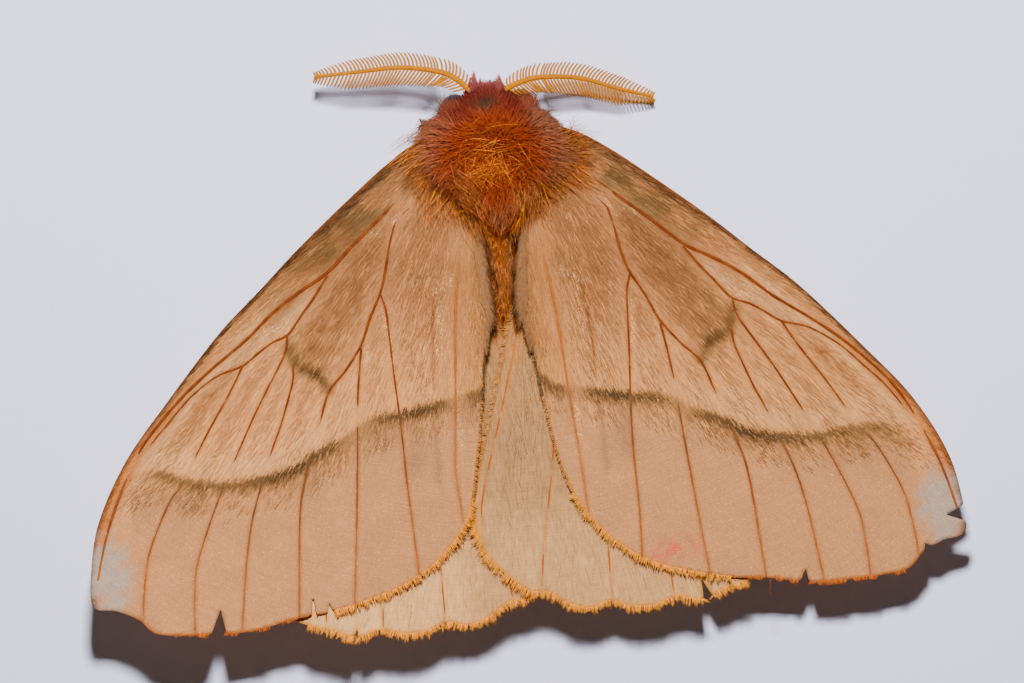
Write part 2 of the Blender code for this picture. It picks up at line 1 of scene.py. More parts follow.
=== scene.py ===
"""The looks of a male moth at rest, wings flat, seen from straight above on a pale floor.

The measures are in millimetres from a point on the floor under the middle of the thorax: x to the
moth's right, y forward and z up. place() turns them into metres in the frame.
"""

import math

import bpy
import numpy as np
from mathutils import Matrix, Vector
from mathutils.kdtree import KDTree


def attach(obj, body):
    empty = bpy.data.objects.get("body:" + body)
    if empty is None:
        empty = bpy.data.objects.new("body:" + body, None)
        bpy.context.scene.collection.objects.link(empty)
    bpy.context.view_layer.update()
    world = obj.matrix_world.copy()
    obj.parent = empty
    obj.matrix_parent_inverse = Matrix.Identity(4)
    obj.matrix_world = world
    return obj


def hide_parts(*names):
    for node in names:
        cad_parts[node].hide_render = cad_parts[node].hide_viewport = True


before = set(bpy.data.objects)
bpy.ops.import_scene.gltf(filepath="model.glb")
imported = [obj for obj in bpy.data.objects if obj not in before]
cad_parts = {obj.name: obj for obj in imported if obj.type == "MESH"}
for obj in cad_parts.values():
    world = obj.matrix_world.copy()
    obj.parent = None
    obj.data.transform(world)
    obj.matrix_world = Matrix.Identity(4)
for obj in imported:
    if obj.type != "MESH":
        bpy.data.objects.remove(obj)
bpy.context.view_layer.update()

# Wing plan
# Both pairs are cut from the same plans, mirrored from right to left. When the moth settled, the left
# hindwing slipped back and under the right one, and the left forewing kept a gap and curled up.
MM = 0.001
ORIGIN_BACK = 12.1
SIDES = {"left": -1.0, "right": 1.0}
FOREWING_PLAN = (
    (2.6, 3.0), (5.6, 2.1), (7.9, 0.75), (10.7, -1.4), (14.7, -4.7), (18.0, -7.7), (21.2, -10.6),
    (25.4, -15.3), (28.6, -19.2), (30.9, -23.5), (31.7, -27.3), (31.6, -29.4), (30.0, -29.8),
    (28.4, -30.6), (27.2, -31.7), (24.5, -32.0), (20.5, -32.1), (17.3, -31.5), (14.4, -31.2),
    (11.0, -30.4), (8.8, -29.6), (6.6, -28.2), (4.7, -26.2), (3.5, -24.1), (2.6, -21.2), (1.9, -17.0),
    (1.4, -13.4), (1.0, -10.8), (1.2, -7.0), (2.0, -3.0),
)
HINDWING_PLAN = (
    (2.6, 0.0), (8.0, -4.0), (14.0, -12.0), (17.6, -20.0), (18.8, -26.0), (17.4, -30.2),
    (15.6, -31.5), (14.0, -32.0), (12.2, -32.7), (10.4, -32.3), (8.6, -32.8), (6.9, -32.7),
    (5.6, -32.2), (4.2, -32.6), (2.6, -32.2), (1.0, -31.2), (-0.3, -31.0), (-2.1, -29.4),
    (-3.3, -27.8), (-3.8, -25.2), (-3.2, -22.2), (-1.8, -17.6), (-0.8, -14.2), (0.1, -11.2),
    (1.6, -8.4), (2.2, -3.0),
)
HINDWING_SLIP = {"left": (-0.8, -0.55), "right": (0.0, 0.0)}
INNER_SLIP = 0.6
TEARS = {
    "forewing_left": (((-22.6, -30.3), 1.1), ((-15.9, -29.6), 0.35), ((-14.8, -30.6), 0.5)),
    "forewing_right": (((30.3, -28.0), 1.2), ((28.6, -29.9), 0.7), ((19.8, -31.0), 0.7)),
    "hindwing_left": (((-12.9, -32.5), 0.25),),
    "hindwing_right": (((12.2, -31.1), 0.7),),
}
ROOT_X, ROOT_Y = 3.5, 1.0
ROOT_HEIGHT = 7.9
WING_LENGTH = 41.0
TIP_DROP = 1.7
LEFT_TIP_RISE = 3.0
COSTA_DROOP, COSTA_DROOP_WIDTH = 0.8, 4.0
COSTA_RUN, COSTA_BOW = 29.0, 3.2
STACK_PITCH = 0.8
PLAN_STEP = 0.25


def place(points):
    """Millimetres from under the thorax, as metres in the frame."""
    return (np.asarray(points, float) + (0.0, ORIGIN_BACK, 0.0)) * MM


def ease(value, low, high):
    share = np.clip((value - low) / (high - low), 0.0, 1.0)
    return share * share * (3.0 - 2.0 * share)


def forewing_top(x, y):
    """A low tent that drops to the tip and along the front edge. The left one curls up at the tip."""
    out, back = np.abs(x) - ROOT_X, y - ROOT_Y
    reach = np.hypot(out, back) / WING_LENGTH
    share = np.clip((out - back) / (2 * COSTA_RUN), 0.0, 1.0)
    behind = (-out - back) / math.sqrt(2) + COSTA_BOW * np.sin(np.pi * share)
    droop = COSTA_DROOP * np.clip(1.0 - np.maximum(behind, 0.0) / COSTA_DROOP_WIDTH, 0.0, None) ** 2
    return ROOT_HEIGHT - TIP_DROP * reach**1.5 - droop + LEFT_TIP_RISE * reach**4 * ease(-x, 4.0, 16.0)


def hindwing_top(x, y, side):
    pitch = STACK_PITCH * (1 - 0.45 * ease(-y, 14.0, 24.0))
    under = ease(x, -7.8, -4.4) * ease(-y, 4.5, 8.3) if side == "left" else 0.0
    return forewing_top(x, y) - pitch * (1 + under)


def wing_top(name, side, x, y):
    return forewing_top(x, y) if "fore" in name else hindwing_top(x, y, side)


def smooth_line(controls, step):
    """Points about a step apart on the smooth curve through the controls."""
    controls = np.asarray(controls, float)
    padded = np.vstack([controls[0], controls, controls[-1]])
    points = []
    for before, start, end, after in zip(padded, padded[1:], padded[2:], padded[3:]):
        count = max(1, int(round(np.linalg.norm(end - start) / step)))
        t = (np.arange(count) / count)[:, None]
        bend = (2 * before - 5 * start + 4 * end - after) * t**2
        twist = (3 * start - before - 3 * end + after) * t**3
        points.append(0.5 * (2 * start + (end - before) * t + bend + twist))
    return np.vstack([*points, controls[-1:]])


def torn(outline, tears):
    for inner, width in tears:
        inner = np.array(inner)
        at = int(np.argmin(np.linalg.norm(outline - inner, axis=1)))
        chord = outline[at + 1] - outline[at - 1]
        chord = chord / np.linalg.norm(chord) * width / 2
        mouth = [outline[at] - chord, inner + (0.05, 0.0), outline[at] + chord]
        far = np.linalg.norm(outline - outline[at], axis=1) > width / 2
        outline = np.vstack([outline[:at][far[:at]], mouth, outline[at + 1 :][far[at + 1 :]]])
    return outline


def settled(plan, name, side):
    """Places on the plan where they lie on that wing."""
    points = np.asarray(plan, float) * (SIDES[side], 1.0)
    if "hind" in name:
        return points + HINDWING_SLIP[side]
    if side == "left":
        x, y = points[:, 0], points[:, 1]
        points[:, 0] -= INNER_SLIP * ease(-y, 2, 8) * (1 - ease(-y, 21, 27)) * (1 - ease(-x, 4, 13))
    return points


def wing_outline(name, side):
    plan = FOREWING_PLAN if "fore" in name else HINDWING_PLAN
    return torn(settled(smooth_line(plan, PLAN_STEP), name, side), TEARS[name])


# Wing colours
# Scales in soft fields: rust along the front edge, tan to the dark cross band, pinker beyond it,
# and a greyer hindwing. The fields follow the distance to edges, veins, band and wing root.
FW_BASE = (0.34, 0.136, 0.046)
FW_CELL = (0.22, 0.088, 0.03)
FW_OUTER = (0.45, 0.186, 0.068)
FW_PALE = (0.53, 0.22, 0.068)
OLIVE = (0.15, 0.076, 0.026)
COSTA_RUST = (0.16, 0.04, 0.008)
COSTA_DARK = (0.028, 0.014, 0.008)
ORANGE = (0.42, 0.1, 0.006)
AMBER = (0.72, 0.25, 0.012)
WORN = (0.3, 0.24, 0.19)
FLUSH = (0.56, 0.06, 0.035)
HW_GREY = (0.36, 0.18, 0.066)
HW_PALE = (0.56, 0.28, 0.105)
HW_TAN = (0.42, 0.16, 0.036)
PANE_CREAM = (0.56, 0.29, 0.115)
BAND_DARK = (0.05, 0.03, 0.012)
BAND_BROWN = (0.2, 0.09, 0.038)
RUST = (0.11, 0.018, 0.002)
UMBER = (0.114, 0.038, 0.014)
BAND = smooth_line(
    ((0.9, -14.6), (1.9, -15.8), (2.8, -16.5), (3.7, -16.7), (5.8, -17.1), (8.2, -17.5), (10.3, -17.8),
     (11.9, -18.6), (12.9, -19.2), (14.7, -19.8), (16.3, -20.8), (19.0, -21.4), (21.1, -21.6), (23.2, -21.4),
     (25.3, -21.2), (27.1, -21.4), (27.9, -21.8), (31.0, -22.8)),
    0.4,
)
BAND_STRENGTH = (
    (0.0, 3.3, 3.9, 4.6, 5.4, 7.4, 9.8, 11.2, 12.2, 13.6, 16.0, 20.0, 26.0, 28.0),
    (1.0, 1.0, 0.4, 0.5, 1.0, 1.2, 1.0, 0.6, 0.55, 1.0, 1.2, 1.0, 0.8, 0.0),
)
FOREWING_VEINS = {
    "radius": ((3.8, 0.5), (6.6, -1.4), (9.0, -3.4), (11.0, -5.1), (12.9, -6.8), (15.0, -8.0), (17.0, -9.3),
               (19.1, -11.1), (21.5, -12.8), (23.7, -14.5), (25.5, -16.2), (27.2, -18.1), (28.6, -20.4),
               (30.2, -24.0), (31.2, -27.6)),
    "sector": ((12.9, -7.0), (14.0, -8.5), (15.0, -9.7), (16.1, -11.0), (17.3, -11.5), (18.4, -12.2),
               (19.6, -13.0), (21.5, -13.6), (23.6, -15.0), (25.3, -16.7), (26.8, -18.3), (28.4, -20.6)),
    "media_fore": ((19.6, -13.05), (20.3, -14.3), (21.2, -15.7), (22.6, -17.8), (24.6, -21.1), (25.7, -22.5),
                   (27.3, -25.8), (27.9, -28.6), (28.1, -30.5)),
    "media_mid": ((16.15, -11.1), (16.4, -12.3), (17.4, -14.0), (18.4, -15.6), (19.7, -17.9), (22.1, -22.5),
                  (23.9, -26.8), (24.3, -29.0), (24.5, -31.8)),
    "media_hind": ((15.9, -13.3), (16.0, -14.3), (16.4, -15.5), (17.2, -17.6), (18.0, -19.4), (19.6, -23.6),
                   (20.3, -26.5), (20.7, -29.0), (21.1, -31.9)),
    "cubitus": ((3.9, -0.6), (7.2, -3.2), (7.9, -4.6), (8.4, -7.0), (8.9, -8.5), (9.9, -10.3), (10.8, -12.2),
                (12.2, -14.0), (13.5, -15.4), (14.4, -17.8), (15.7, -21.5), (16.3, -24.1), (16.8, -29.6),
                (16.95, -31.4)),
    "cubitus_mid": ((10.8, -12.4), (11.2, -14.7), (11.5, -17.0), (11.8, -20.4), (12.4, -26.2),
                    (12.9, -30.7)),
    "cubitus_hind": ((8.9, -8.7), (8.6, -9.8), (8.5, -11.5), (8.4, -14.2), (8.2, -17.8), (8.1, -21.4),
                     (8.2, -25.6), (8.1, -29.2)),
    "anal": ((2.5, -4.0), (2.8, -7.0), (3.2, -9.6), (3.5, -12.6), (3.8, -16.6), (4.2, -21.1), (4.5, -25.6)),
}
FOREWING_FOLD = ((5.4, -9.2), (5.5, -10.0), (5.75, -12.5), (5.9, -16.0), (6.0, -19.0), (6.1, -22.6))
FOREWING_CROSSVEIN = ((16.2, -12.0), (15.7, -13.2), (15.1, -13.7), (14.3, -14.1), (13.5, -15.3))
CELL_SHADE = ((9.8, -4.9), (12.0, -8.5), (14.4, -12.4))
INNER_SMEAR = ((2.9, 4.9, 6.6, 9.3, 10.4), (-7.3, -7.3, -7.9, -5.6, -5.2))
PANE_LINE = ((13.0, 16.0, 19.0, 24.0), (-7.5, -9.8, -11.9, -14.8))
HINDWING_VEINS = {
    "inner": ((2.0, -8.0), (0.4, -10.8), (0.3, -12.6), (-0.3, -14.8), (-1.1, -17.5), (-2.6, -22.3),
              (-3.2, -24.7), (-3.2, -26.3)),
    "second": ((3.2, -8.0), (2.9, -15.0), (2.4, -20.3), (1.9, -23.5), (1.1, -27.6), (0.7, -30.8)),
    "third": ((3.8, -8.0), (5.2, -16.0), (5.6, -24.0), (5.7, -27.8), (5.7, -32.2)),
    "fourth": ((4.2, -8.0), (7.8, -14.0), (9.8, -24.0), (10.1, -30.4), (10.2, -32.4)),
    "fifth": ((4.6, -8.0), (10.6, -14.0), (13.3, -23.0), (14.3, -31.8)),
    "sixth": ((5.0, -8.0), (12.2, -13.0), (16.0, -21.0), (17.3, -29.4)),
}


def wing_veins(name, side):
    veins = FOREWING_VEINS if "fore" in name else HINDWING_VEINS
    return {vein: settled(smooth_line(controls, 0.3), name, side) for vein, controls in veins.items()}


def blend(colours, colour, share):
    share = np.clip(np.broadcast_to(share, len(colours)), 0.0, 1.0)[:, None]
    return colours * (1 - share) + np.array(colour) * share


def layered(ground, count, layers):
    """The ground colour for every point, and over it the layers, each a colour and its share."""
    colours = np.tile(ground, (count, 1))
    for colour, share in layers:
        colours = blend(colours, colour, share)
    return colours


def plateau(value, rise, full, fade, gone):
    return ease(value, rise, full) * (1 - ease(value, fade, gone))


def blotch(x, y, size, seed):
    """Soft, even noise from 0 to 1, a few waves laid over one another."""
    draw = np.random.default_rng(seed)
    total = np.zeros(len(x))
    for _ in range(9):
        angle, phase = draw.uniform(0, 2 * np.pi, 2)
        wave = draw.uniform(0.6, 1.6) * 2 * np.pi / size
        total += np.sin((x * np.cos(angle) + y * np.sin(angle)) * wave + phase)
    return 0.5 + 0.5 * np.tanh(total / 3.0)


def bell(value, width):
    return np.exp(-((value / width) ** 2))


def nearest_on(lines, x, y):
    """Distance to the nearest of the lines, and the nearest place on it."""
    best = np.full(len(x), np.inf)
    spot = np.zeros((len(x), 2))
    here = np.stack([x, y], axis=1)
    for line in lines:
        for a, b in zip(line, line[1:]):
            run = b - a
            share = np.clip((here - a) @ run / (run @ run + 1e-12), 0.0, 1.0)[:, None]
            foot = a + share * run
            gap = np.linalg.norm(here - foot, axis=1)
            closer = gap < best
            best[closer] = gap[closer]
            spot[closer] = foot[closer]
    return best, spot


def past_band(x, y):
    """Distance beyond the dark band towards the outer margin, less than zero before it."""
    flat_x = np.abs(x)
    y = y - np.where(x < 0, 1.2, 0.0) * ease(flat_x, 23.0, 28.0)
    gap, foot = nearest_on([BAND], flat_x, y)
    return np.where(y < foot[:, 1], gap, -gap)


def band_strength(x):
    return np.interp(np.abs(x), *BAND_STRENGTH)


def gap_to(controls, flat_x, y):
    return nearest_on([smooth_line(controls, 0.5)], flat_x, y)[0]


def forewing_colours(x, y, veins, rim):
    flat_x = np.abs(x)
    reach = np.hypot(flat_x - ROOT_X, y - ROOT_Y)
    edge = gap_to(FOREWING_PLAN[:12], flat_x, y)
    past = past_band(x, y)

    def noise(size, seed):
        return blotch(x, y, size, seed)

    def near(controls, width):
        return bell(gap_to(controls, flat_x, y), width)

    strip = (1 - ease(edge, 2.2, 3.2)) * (1 - ease(reach, 7.0, np.where(x < 0, 21.0, 16.0)))
    streak = bell(edge - 1.9 - 0.02 * reach, 0.5) * plateau(reach, 12.0, 16.0, 24.0, 29.0)
    dashes = bell(edge - 0.45, 0.22) * (1 - ease(reach, 10.0, 15.0))
    dashes = dashes + (1 - ease(edge, 0.15, 0.55)) * ease(reach, 11.0, 15.0)
    below = bell(flat_x - 7.6, 0.9) * plateau(past, 0.2, 0.8, 3.0, 6.0)
    smear = bell(y - np.interp(flat_x, *INNER_SMEAR), 0.6) * (1 - ease(flat_x, 9.8, 11.0))
    pane = bell(y - np.interp(flat_x, *PANE_LINE), 0.6) * plateau(flat_x, 13.5, 15.5, 19.0, 25.0)
    worn = bell(x - np.where(x > 0, 30.2, -30.5), 2.0) * bell(y + 27.4, 3.2)
    flush = bell(x - 10.4, 1.9) * bell(y + 28.9 - 0.12 * (x - 10.4), 0.75)
    flush = flush * ease(noise(1.5, 4), 0.05, 0.7) * (0.55 + 0.45 * noise(0.45, 19))
    hem = ease(-y, 16.0, 24.0) * (1 - ease(flat_x, 10.0, 14.0)) * (1 - ease(rim, 0.05, 0.3)) * (edge > 3.0)
    outer = gap_to(FOREWING_PLAN[13:20], flat_x, y)
    colours = layered(FW_BASE, len(x), (
        (FW_PALE, 0.9 * ease(reach, 9.0, 19.0)),
        (FW_OUTER, ease(past, 0.0, 3.0)),
        (HW_PALE, 0.5 * bell(past + 1.4, 1.0) * ease(flat_x, 10.0, 16.0)),
        (HW_TAN, 0.75 * near(FOREWING_PLAN[24:29], 2.2) * (past < 0)),
        (FW_CELL, 0.7 * near(FOREWING_PLAN[26:29], 1.1) * (past < 0)),
        (FW_CELL, 0.85 * near(CELL_SHADE, 2.1) * (0.5 + 0.5 * noise(2.2, 21))),
        (BAND_BROWN, 0.55 * noise(6.0, 5) * plateau(past, 0.1, 0.6, 1.2, 4.5) * (flat_x < 28.5)),
        (BAND_BROWN, 0.5 * below + 0.15 * noise(3.5, 8) * ease(past, 2.0, 4.0)),
        (OLIVE, 0.85 * strip * ease(noise(3.4, 2), 0.2, 0.7)),
        (OLIVE, 0.8 * bell(edge - 2.3, 0.55) * bell(reach - 8.3, 1.8)),
        (RUST, 0.4 * streak * (0.5 + 0.5 * noise(1.5, 31))),
        (ORANGE, 0.5 * bell(edge - 0.7, 0.16) * ease(reach, 20.0, 26.0)),
        (HW_PALE, 0.7 * bell(edge - 1.45, 0.22) * plateau(reach, 14.0, 20.0, 30.0, 34.0)),
        (ORANGE, 0.6 * ease(reach, 29.0, 32.0) * (1 - ease(edge, 0.4, 1.3))),
        (COSTA_RUST, 0.9 * (1 - ease(edge, 0.15, 0.4))),
        (COSTA_DARK, 0.9 * dashes * (1 - 0.55 * ease(reach, 24.0, 30.0)) * (0.5 + 0.5 * noise(0.9, 11))),
        (BAND_DARK, 0.92 * near(FOREWING_CROSSVEIN, 0.45) * (0.75 + 0.25 * noise(1.2, 14))),
        (RUST, 0.55 * near(FOREWING_FOLD, 0.12) * (past < -1.2)),
        (BAND_BROWN, 0.5 * near(FOREWING_FOLD, 0.3) * ease(past, 0.0, 0.8)),
        (OLIVE, 0.4 * smear * noise(2.2, 16)),
        (PANE_CREAM, 0.6 * pane),
        (RUST, 0.5 * bell(veins, 0.15) * ease(reach, 7.0, 10.0) * (1 - 0.9 * bell(past + 1.0, 0.9))),
        (WORN, 0.8 * ease(worn * (0.7 + 0.6 * noise(1.6, 9)), 0.2, 0.85)),
        (FLUSH, 0.9 * flush),
        (AMBER, 0.7 * hem),
        (ORANGE, 0.7 * (1 - ease(outer, 0.06, 0.24)) * ease(past, 1.0, 2.0)),
    ))
    # Painted light and shade, left forewing only: inner field lighter, front strip near the root darker.
    lit = ease(edge, 2.2, 3.4) * ease(flat_x, 3.2, 6.0) * (1 - ease(past, -2.0, 1.0)) * 0.12
    lit = lit - 0.14 * (1 - ease(edge, 2.2, 3.4)) * plateau(reach, 8.0, 10.0, 14.0, 20.0)
    return colours * np.where(x < 0, 1.0 + lit, 1.0)[:, None]


def hindwing_colours(x, y, veins, rim):
    bare = ease(-x, 3.9, 5.6)
    colours = layered(HW_GREY, len(x), (
        (HW_PALE, 0.6 * ease(-y, 22.0, 29.0)),
        (HW_TAN, 0.8 * (1 - ease(-y, 12.0, 20.0)) * blotch(x, y, 2.5, 3)),
        (BAND_BROWN, 0.25 * blotch(x, y, 5.0, 7) * bell(y + 20.0, 4.0)),
        (HW_PALE, 0.9 * bare * ease(-y, 20.0, 24.0)),
    )) * (1 + 0.12 * bare)[:, None]
    colours = blend(colours, ORANGE, 0.5 * bell(veins, 0.12))
    return blend(colours, AMBER, 0.8 * (1 - ease(rim, 0.06, 0.35)) * ease(-y, 20.0, 24.0))


def wing_colours(name, side, x, y):
    outline = wing_outline(name, side)
    vein_gap, _ = nearest_on(list(wing_veins(name, side).values()), x, y)
    rim_gap, _ = nearest_on([np.vstack([outline, outline[:1]])], x, y)
    colours_of = forewing_colours if "fore" in name else hindwing_colours
    return colours_of(x, y, vein_gap, rim_gap), vein_gap


# Wing scales
# The finish of all four membranes: streaks that run with the hairs, a fine speckle in rows across
# the wing, the ragged dark band, and painted glints: scattered scales painted gold or pink.
def put(tree, kind, inputs=None, **settings):
    """A shader node with its settings, and values or links for its inputs."""
    node = tree.nodes.new(f"ShaderNode{kind}")
    for key, value in settings.items():
        setattr(node, key, value)
    for key, value in (inputs or {}).items():
        if isinstance(value, bpy.types.NodeSocket):
            tree.links.new(value, node.inputs[key])
        else:
            node.inputs[key].default_value = value
    return node


def new_material(name, roughness, specular):
    """A new material, its node tree and its shader."""
    made = bpy.data.materials.new(name)
    made.use_nodes = True
    shader = made.node_tree.nodes["Principled BSDF"]
    shader.inputs["Roughness"].default_value = roughness
    shader.inputs["Specular IOR Level"].default_value = specular
    return made, made.node_tree, shader


def math_node(tree, operation, *values):
    return put(tree, "Math", dict(enumerate(values)), operation=operation).outputs["Value"]


def ranged(tree, value, low, high, to_low, to_high):
    return put(tree, "MapRange", {"Value": value, "From Min": low, "From Max": high,
                                  "To Min": to_low, "To Max": to_high}).outputs["Result"]


def multiplied(tree, colour, factor):
    return put(tree, "VectorMath", {0: colour, 1: factor}, operation="MULTIPLY").outputs["Vector"]


def mixed(tree, factor, first, second):
    """Mixes two colours, each given as a link or as three numbers."""
    node = put(tree, "Mix", data_type="RGBA")
    for socket, value in zip((node.inputs[0], node.inputs[6], node.inputs[7]), (factor, first, second)):
        if isinstance(value, bpy.types.NodeSocket):
            tree.links.new(value, socket)
        else:
            socket.default_value = (*value, 1.0) if isinstance(value, tuple) else value
    return node.outputs[2]


def noise_on(tree, where, scale, detail):
    inputs = {"Vector": where, "Scale": scale, "Detail": detail}
    return put(tree, "TexNoise", inputs).outputs["Fac"]


def fixed_noise(tree, scale, detail):
    """Noise that is fixed to the piece."""
    return noise_on(tree, put(tree, "TexCoord").outputs["Object"], scale, detail)


def painted_glints(tree, level, strength, colour):
    """Painted glints: single scales painted gold or pink, more of them where the level is low."""
    where = put(tree, "TexCoord").outputs["Object"]
    flecks = put(tree, "TexVoronoi", {"Vector": where, "Scale": 15000.0})
    chance = put(tree, "SeparateColor", {"Color": flecks.outputs["Color"]})
    lit = math_node(tree, "GREATER_THAN", chance.outputs["Red"], level)
    share = math_node(tree, "MULTIPLY", lit, ranged(tree, chance.outputs["Blue"], 0.3, 1.0, 0.1, strength))
    glint = mixed(tree, chance.outputs["Green"], (1.0, 0.46, 0.06), (1.0, 0.62, 0.36))
    return mixed(tree, share, colour, glint), flecks.outputs["Distance"]


def scale_material():
    made, tree, shader = new_material("wing_scales", 0.8, 0.06)
    ground = put(tree, "VertexColor", layer_name="tint").outputs["Color"]
    past, painted_glint_share, strength = (put(tree, "Attribute", attribute_name=name).outputs["Fac"]
                             for name in ("past_band", "painted_glint_share", "band_strength"))
    lie = put(tree, "UVMap", uv_map="Lie").outputs["UV"]

    def scaled(value, factor, rest):
        return math_node(tree, "MULTIPLY_ADD", value, factor, rest)

    def streaks(across, along, detail):
        lined = put(tree, "Mapping", {"Vector": lie, "Scale": (across, along, 1.0)})
        return noise_on(tree, lined.outputs["Vector"], 1.0, detail)

    def swung(colour, noise, amount):
        swing = math_node(tree, "MULTIPLY", math_node(tree, "SUBTRACT", noise, 0.5), smooth_outside)
        return multiplied(tree, colour, scaled(swing, amount, 1.0))

    fine, broad, rows = streaks(13.0, 1.1, 3.0), streaks(2.4, 0.3, 2.0), streaks(1.2, 7.5, 1.0)
    outer = ranged(tree, past, -2.0, 3.0, 0.0, 1.0)
    smooth_outside = scaled(outer, -0.7, 1.0)
    colour = swung(swung(ground, fine, 0.9), broad, 0.5)
    colour = multiplied(tree, colour, ranged(tree, fixed_noise(tree, 9000.0, 2.0), 0.25, 0.75, 0.88, 1.12))
    colour = multiplied(tree, colour, ranged(tree, rows, 0.25, 0.75, 0.93, 1.07))
    ragged = math_node(tree, "ADD", past, scaled(fine, 1.6, -0.8))
    rise, fall = ranged(tree, ragged, -0.5, -0.25, 0.0, 1.0), ranged(tree, ragged, 0.1, 0.9, 1.0, 0.0)
    band = math_node(tree, "MULTIPLY", math_node(tree, "MULTIPLY", rise, fall), strength)
    colour = mixed(tree, math_node(tree, "MULTIPLY", band, 0.85), colour, BAND_DARK)
    # Painted glints, crowded in the glint spots and a little more beyond the band.
    level = scaled(painted_glint_share, -0.5, scaled(outer, -0.05, 0.995))
    colour, domes = painted_glints(tree, level, scaled(painted_glint_share, 0.5, 0.35), colour)
    tree.links.new(colour, shader.inputs["Base Color"])
    relief = scaled(rows, 0.6, math_node(tree, "ADD", fine, domes))
    bump = put(tree, "Bump", {"Height": relief, "Strength": 0.6, "Distance": 0.00005})
    tree.links.new(bump.outputs["Normal"], shader.inputs["Normal"])
    return made


scale_finish = scale_material()


# Wing membranes
# Two layers of chitin with scales laid over them like tiles. Each is a fine grid trimmed to its
# plan, pleated between its veins, given its thickness and painted with its colours.
CELL = 0.18
MEMBRANE = 0.14
PLEAT, PLEAT_WIDTH = 0.2, 2.2
# Spots where the painted glints crowd: across and along the wing, and the width and length of each.
PAINTED_GLINT_SPOTS = (
    (4.1, -8.2, 0.4, 0.45), (5.0, -8.5, 0.35, 0.7), (5.1, -10.6, 0.35, 1.4), (5.4, -13.0, 0.25, 1.0),
    (8.75, -13.0, 0.2, 2.4), (9.1, -10.8, 0.2, 1.0), (10.5, -12.9, 0.22, 1.3), (9.2, -4.2, 0.7, 0.4),
    (7.7, -3.5, 0.25, 0.4), (4.3, -18.6, 0.2, 1.6), (17.5, -10.6, 2.0, 0.5),
)


def deselect_all():
    for obj in bpy.context.selected_objects:
        obj.select_set(False)


def paint(obj, colours):
    """Gives every point of the object its own colour."""
    rgba = np.ones((len(obj.data.vertices), 4), np.float32)
    rgba[:, :3] = colours
    obj.data.color_attributes.new("tint", "FLOAT_COLOR", "POINT").data.foreach_set("color", rgba.ravel())


def fit(obj, finish, slot, *nodes):
    """Gives the piece its finish, and rides it on the moth in place of the nodes. The slot is not used."""
    obj.data.materials.append(finish)
    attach(obj, "root")
    if nodes:
        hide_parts(*nodes)


def flat_points(mesh):
    flat = np.empty(len(mesh.vertices) * 3)
    mesh.vertices.foreach_get("co", flat)
    return flat.reshape(-1, 3)


def wing_slot(name):
    return "wing_tan" if "fore" in name else "hindwing_tan"


def past_on(name, x, y):
    """Distance past the band, which the hindwings don't have."""
    return past_band(x, y) if "fore" in name else np.full(len(x), -20.0)


def inside(outline, x, y):
    """Which of the points lie inside the closed outline."""
    within = np.zeros(np.shape(x), bool)
    for a, b in zip(outline, np.roll(outline, -1, axis=0)):
        crosses = (a[1] > y) != (b[1] > y)
        within ^= crosses & (x < a[0] + (y - a[1]) * (b[0] - a[0]) / (b[1] - a[1] + 1e-12))
    return within


def trimmed_grid(name, outline):
    """A flat grid over the outline, its outer cells deleted and its border drawn to the outline."""
    low, high = outline.min(axis=0) - CELL, outline.max(axis=0) + CELL
    cells = np.ceil((high - low) / CELL).astype(int)
    deselect_all()
    bpy.ops.mesh.primitive_grid_add(x_subdivisions=int(cells[0]), y_subdivisions=int(cells[1]), size=1.0)
    obj = bpy.context.object
    obj.name = f"{name}_membrane"
    mesh = obj.data
    flat = (flat_points(mesh)[:, :2] + 0.5) * (high - low) + low
    mesh.vertices.foreach_set("co", np.column_stack([flat, np.zeros(len(flat))]).ravel())
    outside = ~inside(outline, flat[:, 0], flat[:, 1])
    bpy.ops.object.mode_set(mode="EDIT")
    bpy.ops.mesh.select_mode(type="VERT")
    bpy.ops.mesh.select_all(action="DESELECT")
    bpy.ops.object.mode_set(mode="OBJECT")
    mesh.vertices.foreach_set("select", outside)
    bpy.ops.object.mode_set(mode="EDIT")
    bpy.ops.mesh.delete(type="VERT")
    bpy.ops.mesh.select_all(action="SELECT")
    bpy.ops.mesh.delete_loose(use_verts=True, use_edges=True, use_faces=False)
    bpy.ops.object.mode_set(mode="OBJECT")
    uses = {}
    for polygon in mesh.polygons:
        for key in polygon.edge_keys:
            uses[key] = uses.get(key, 0) + 1
    border = np.array(sorted({v for key, n in uses.items() if n == 1 for v in key}))
    flat = flat_points(mesh)[:, :2]
    _, foot = nearest_on([np.vstack([outline, outline[:1]])], flat[border, 0], flat[border, 1])
    flat[border] = foot
    return obj, flat[:, 0], flat[:, 1]


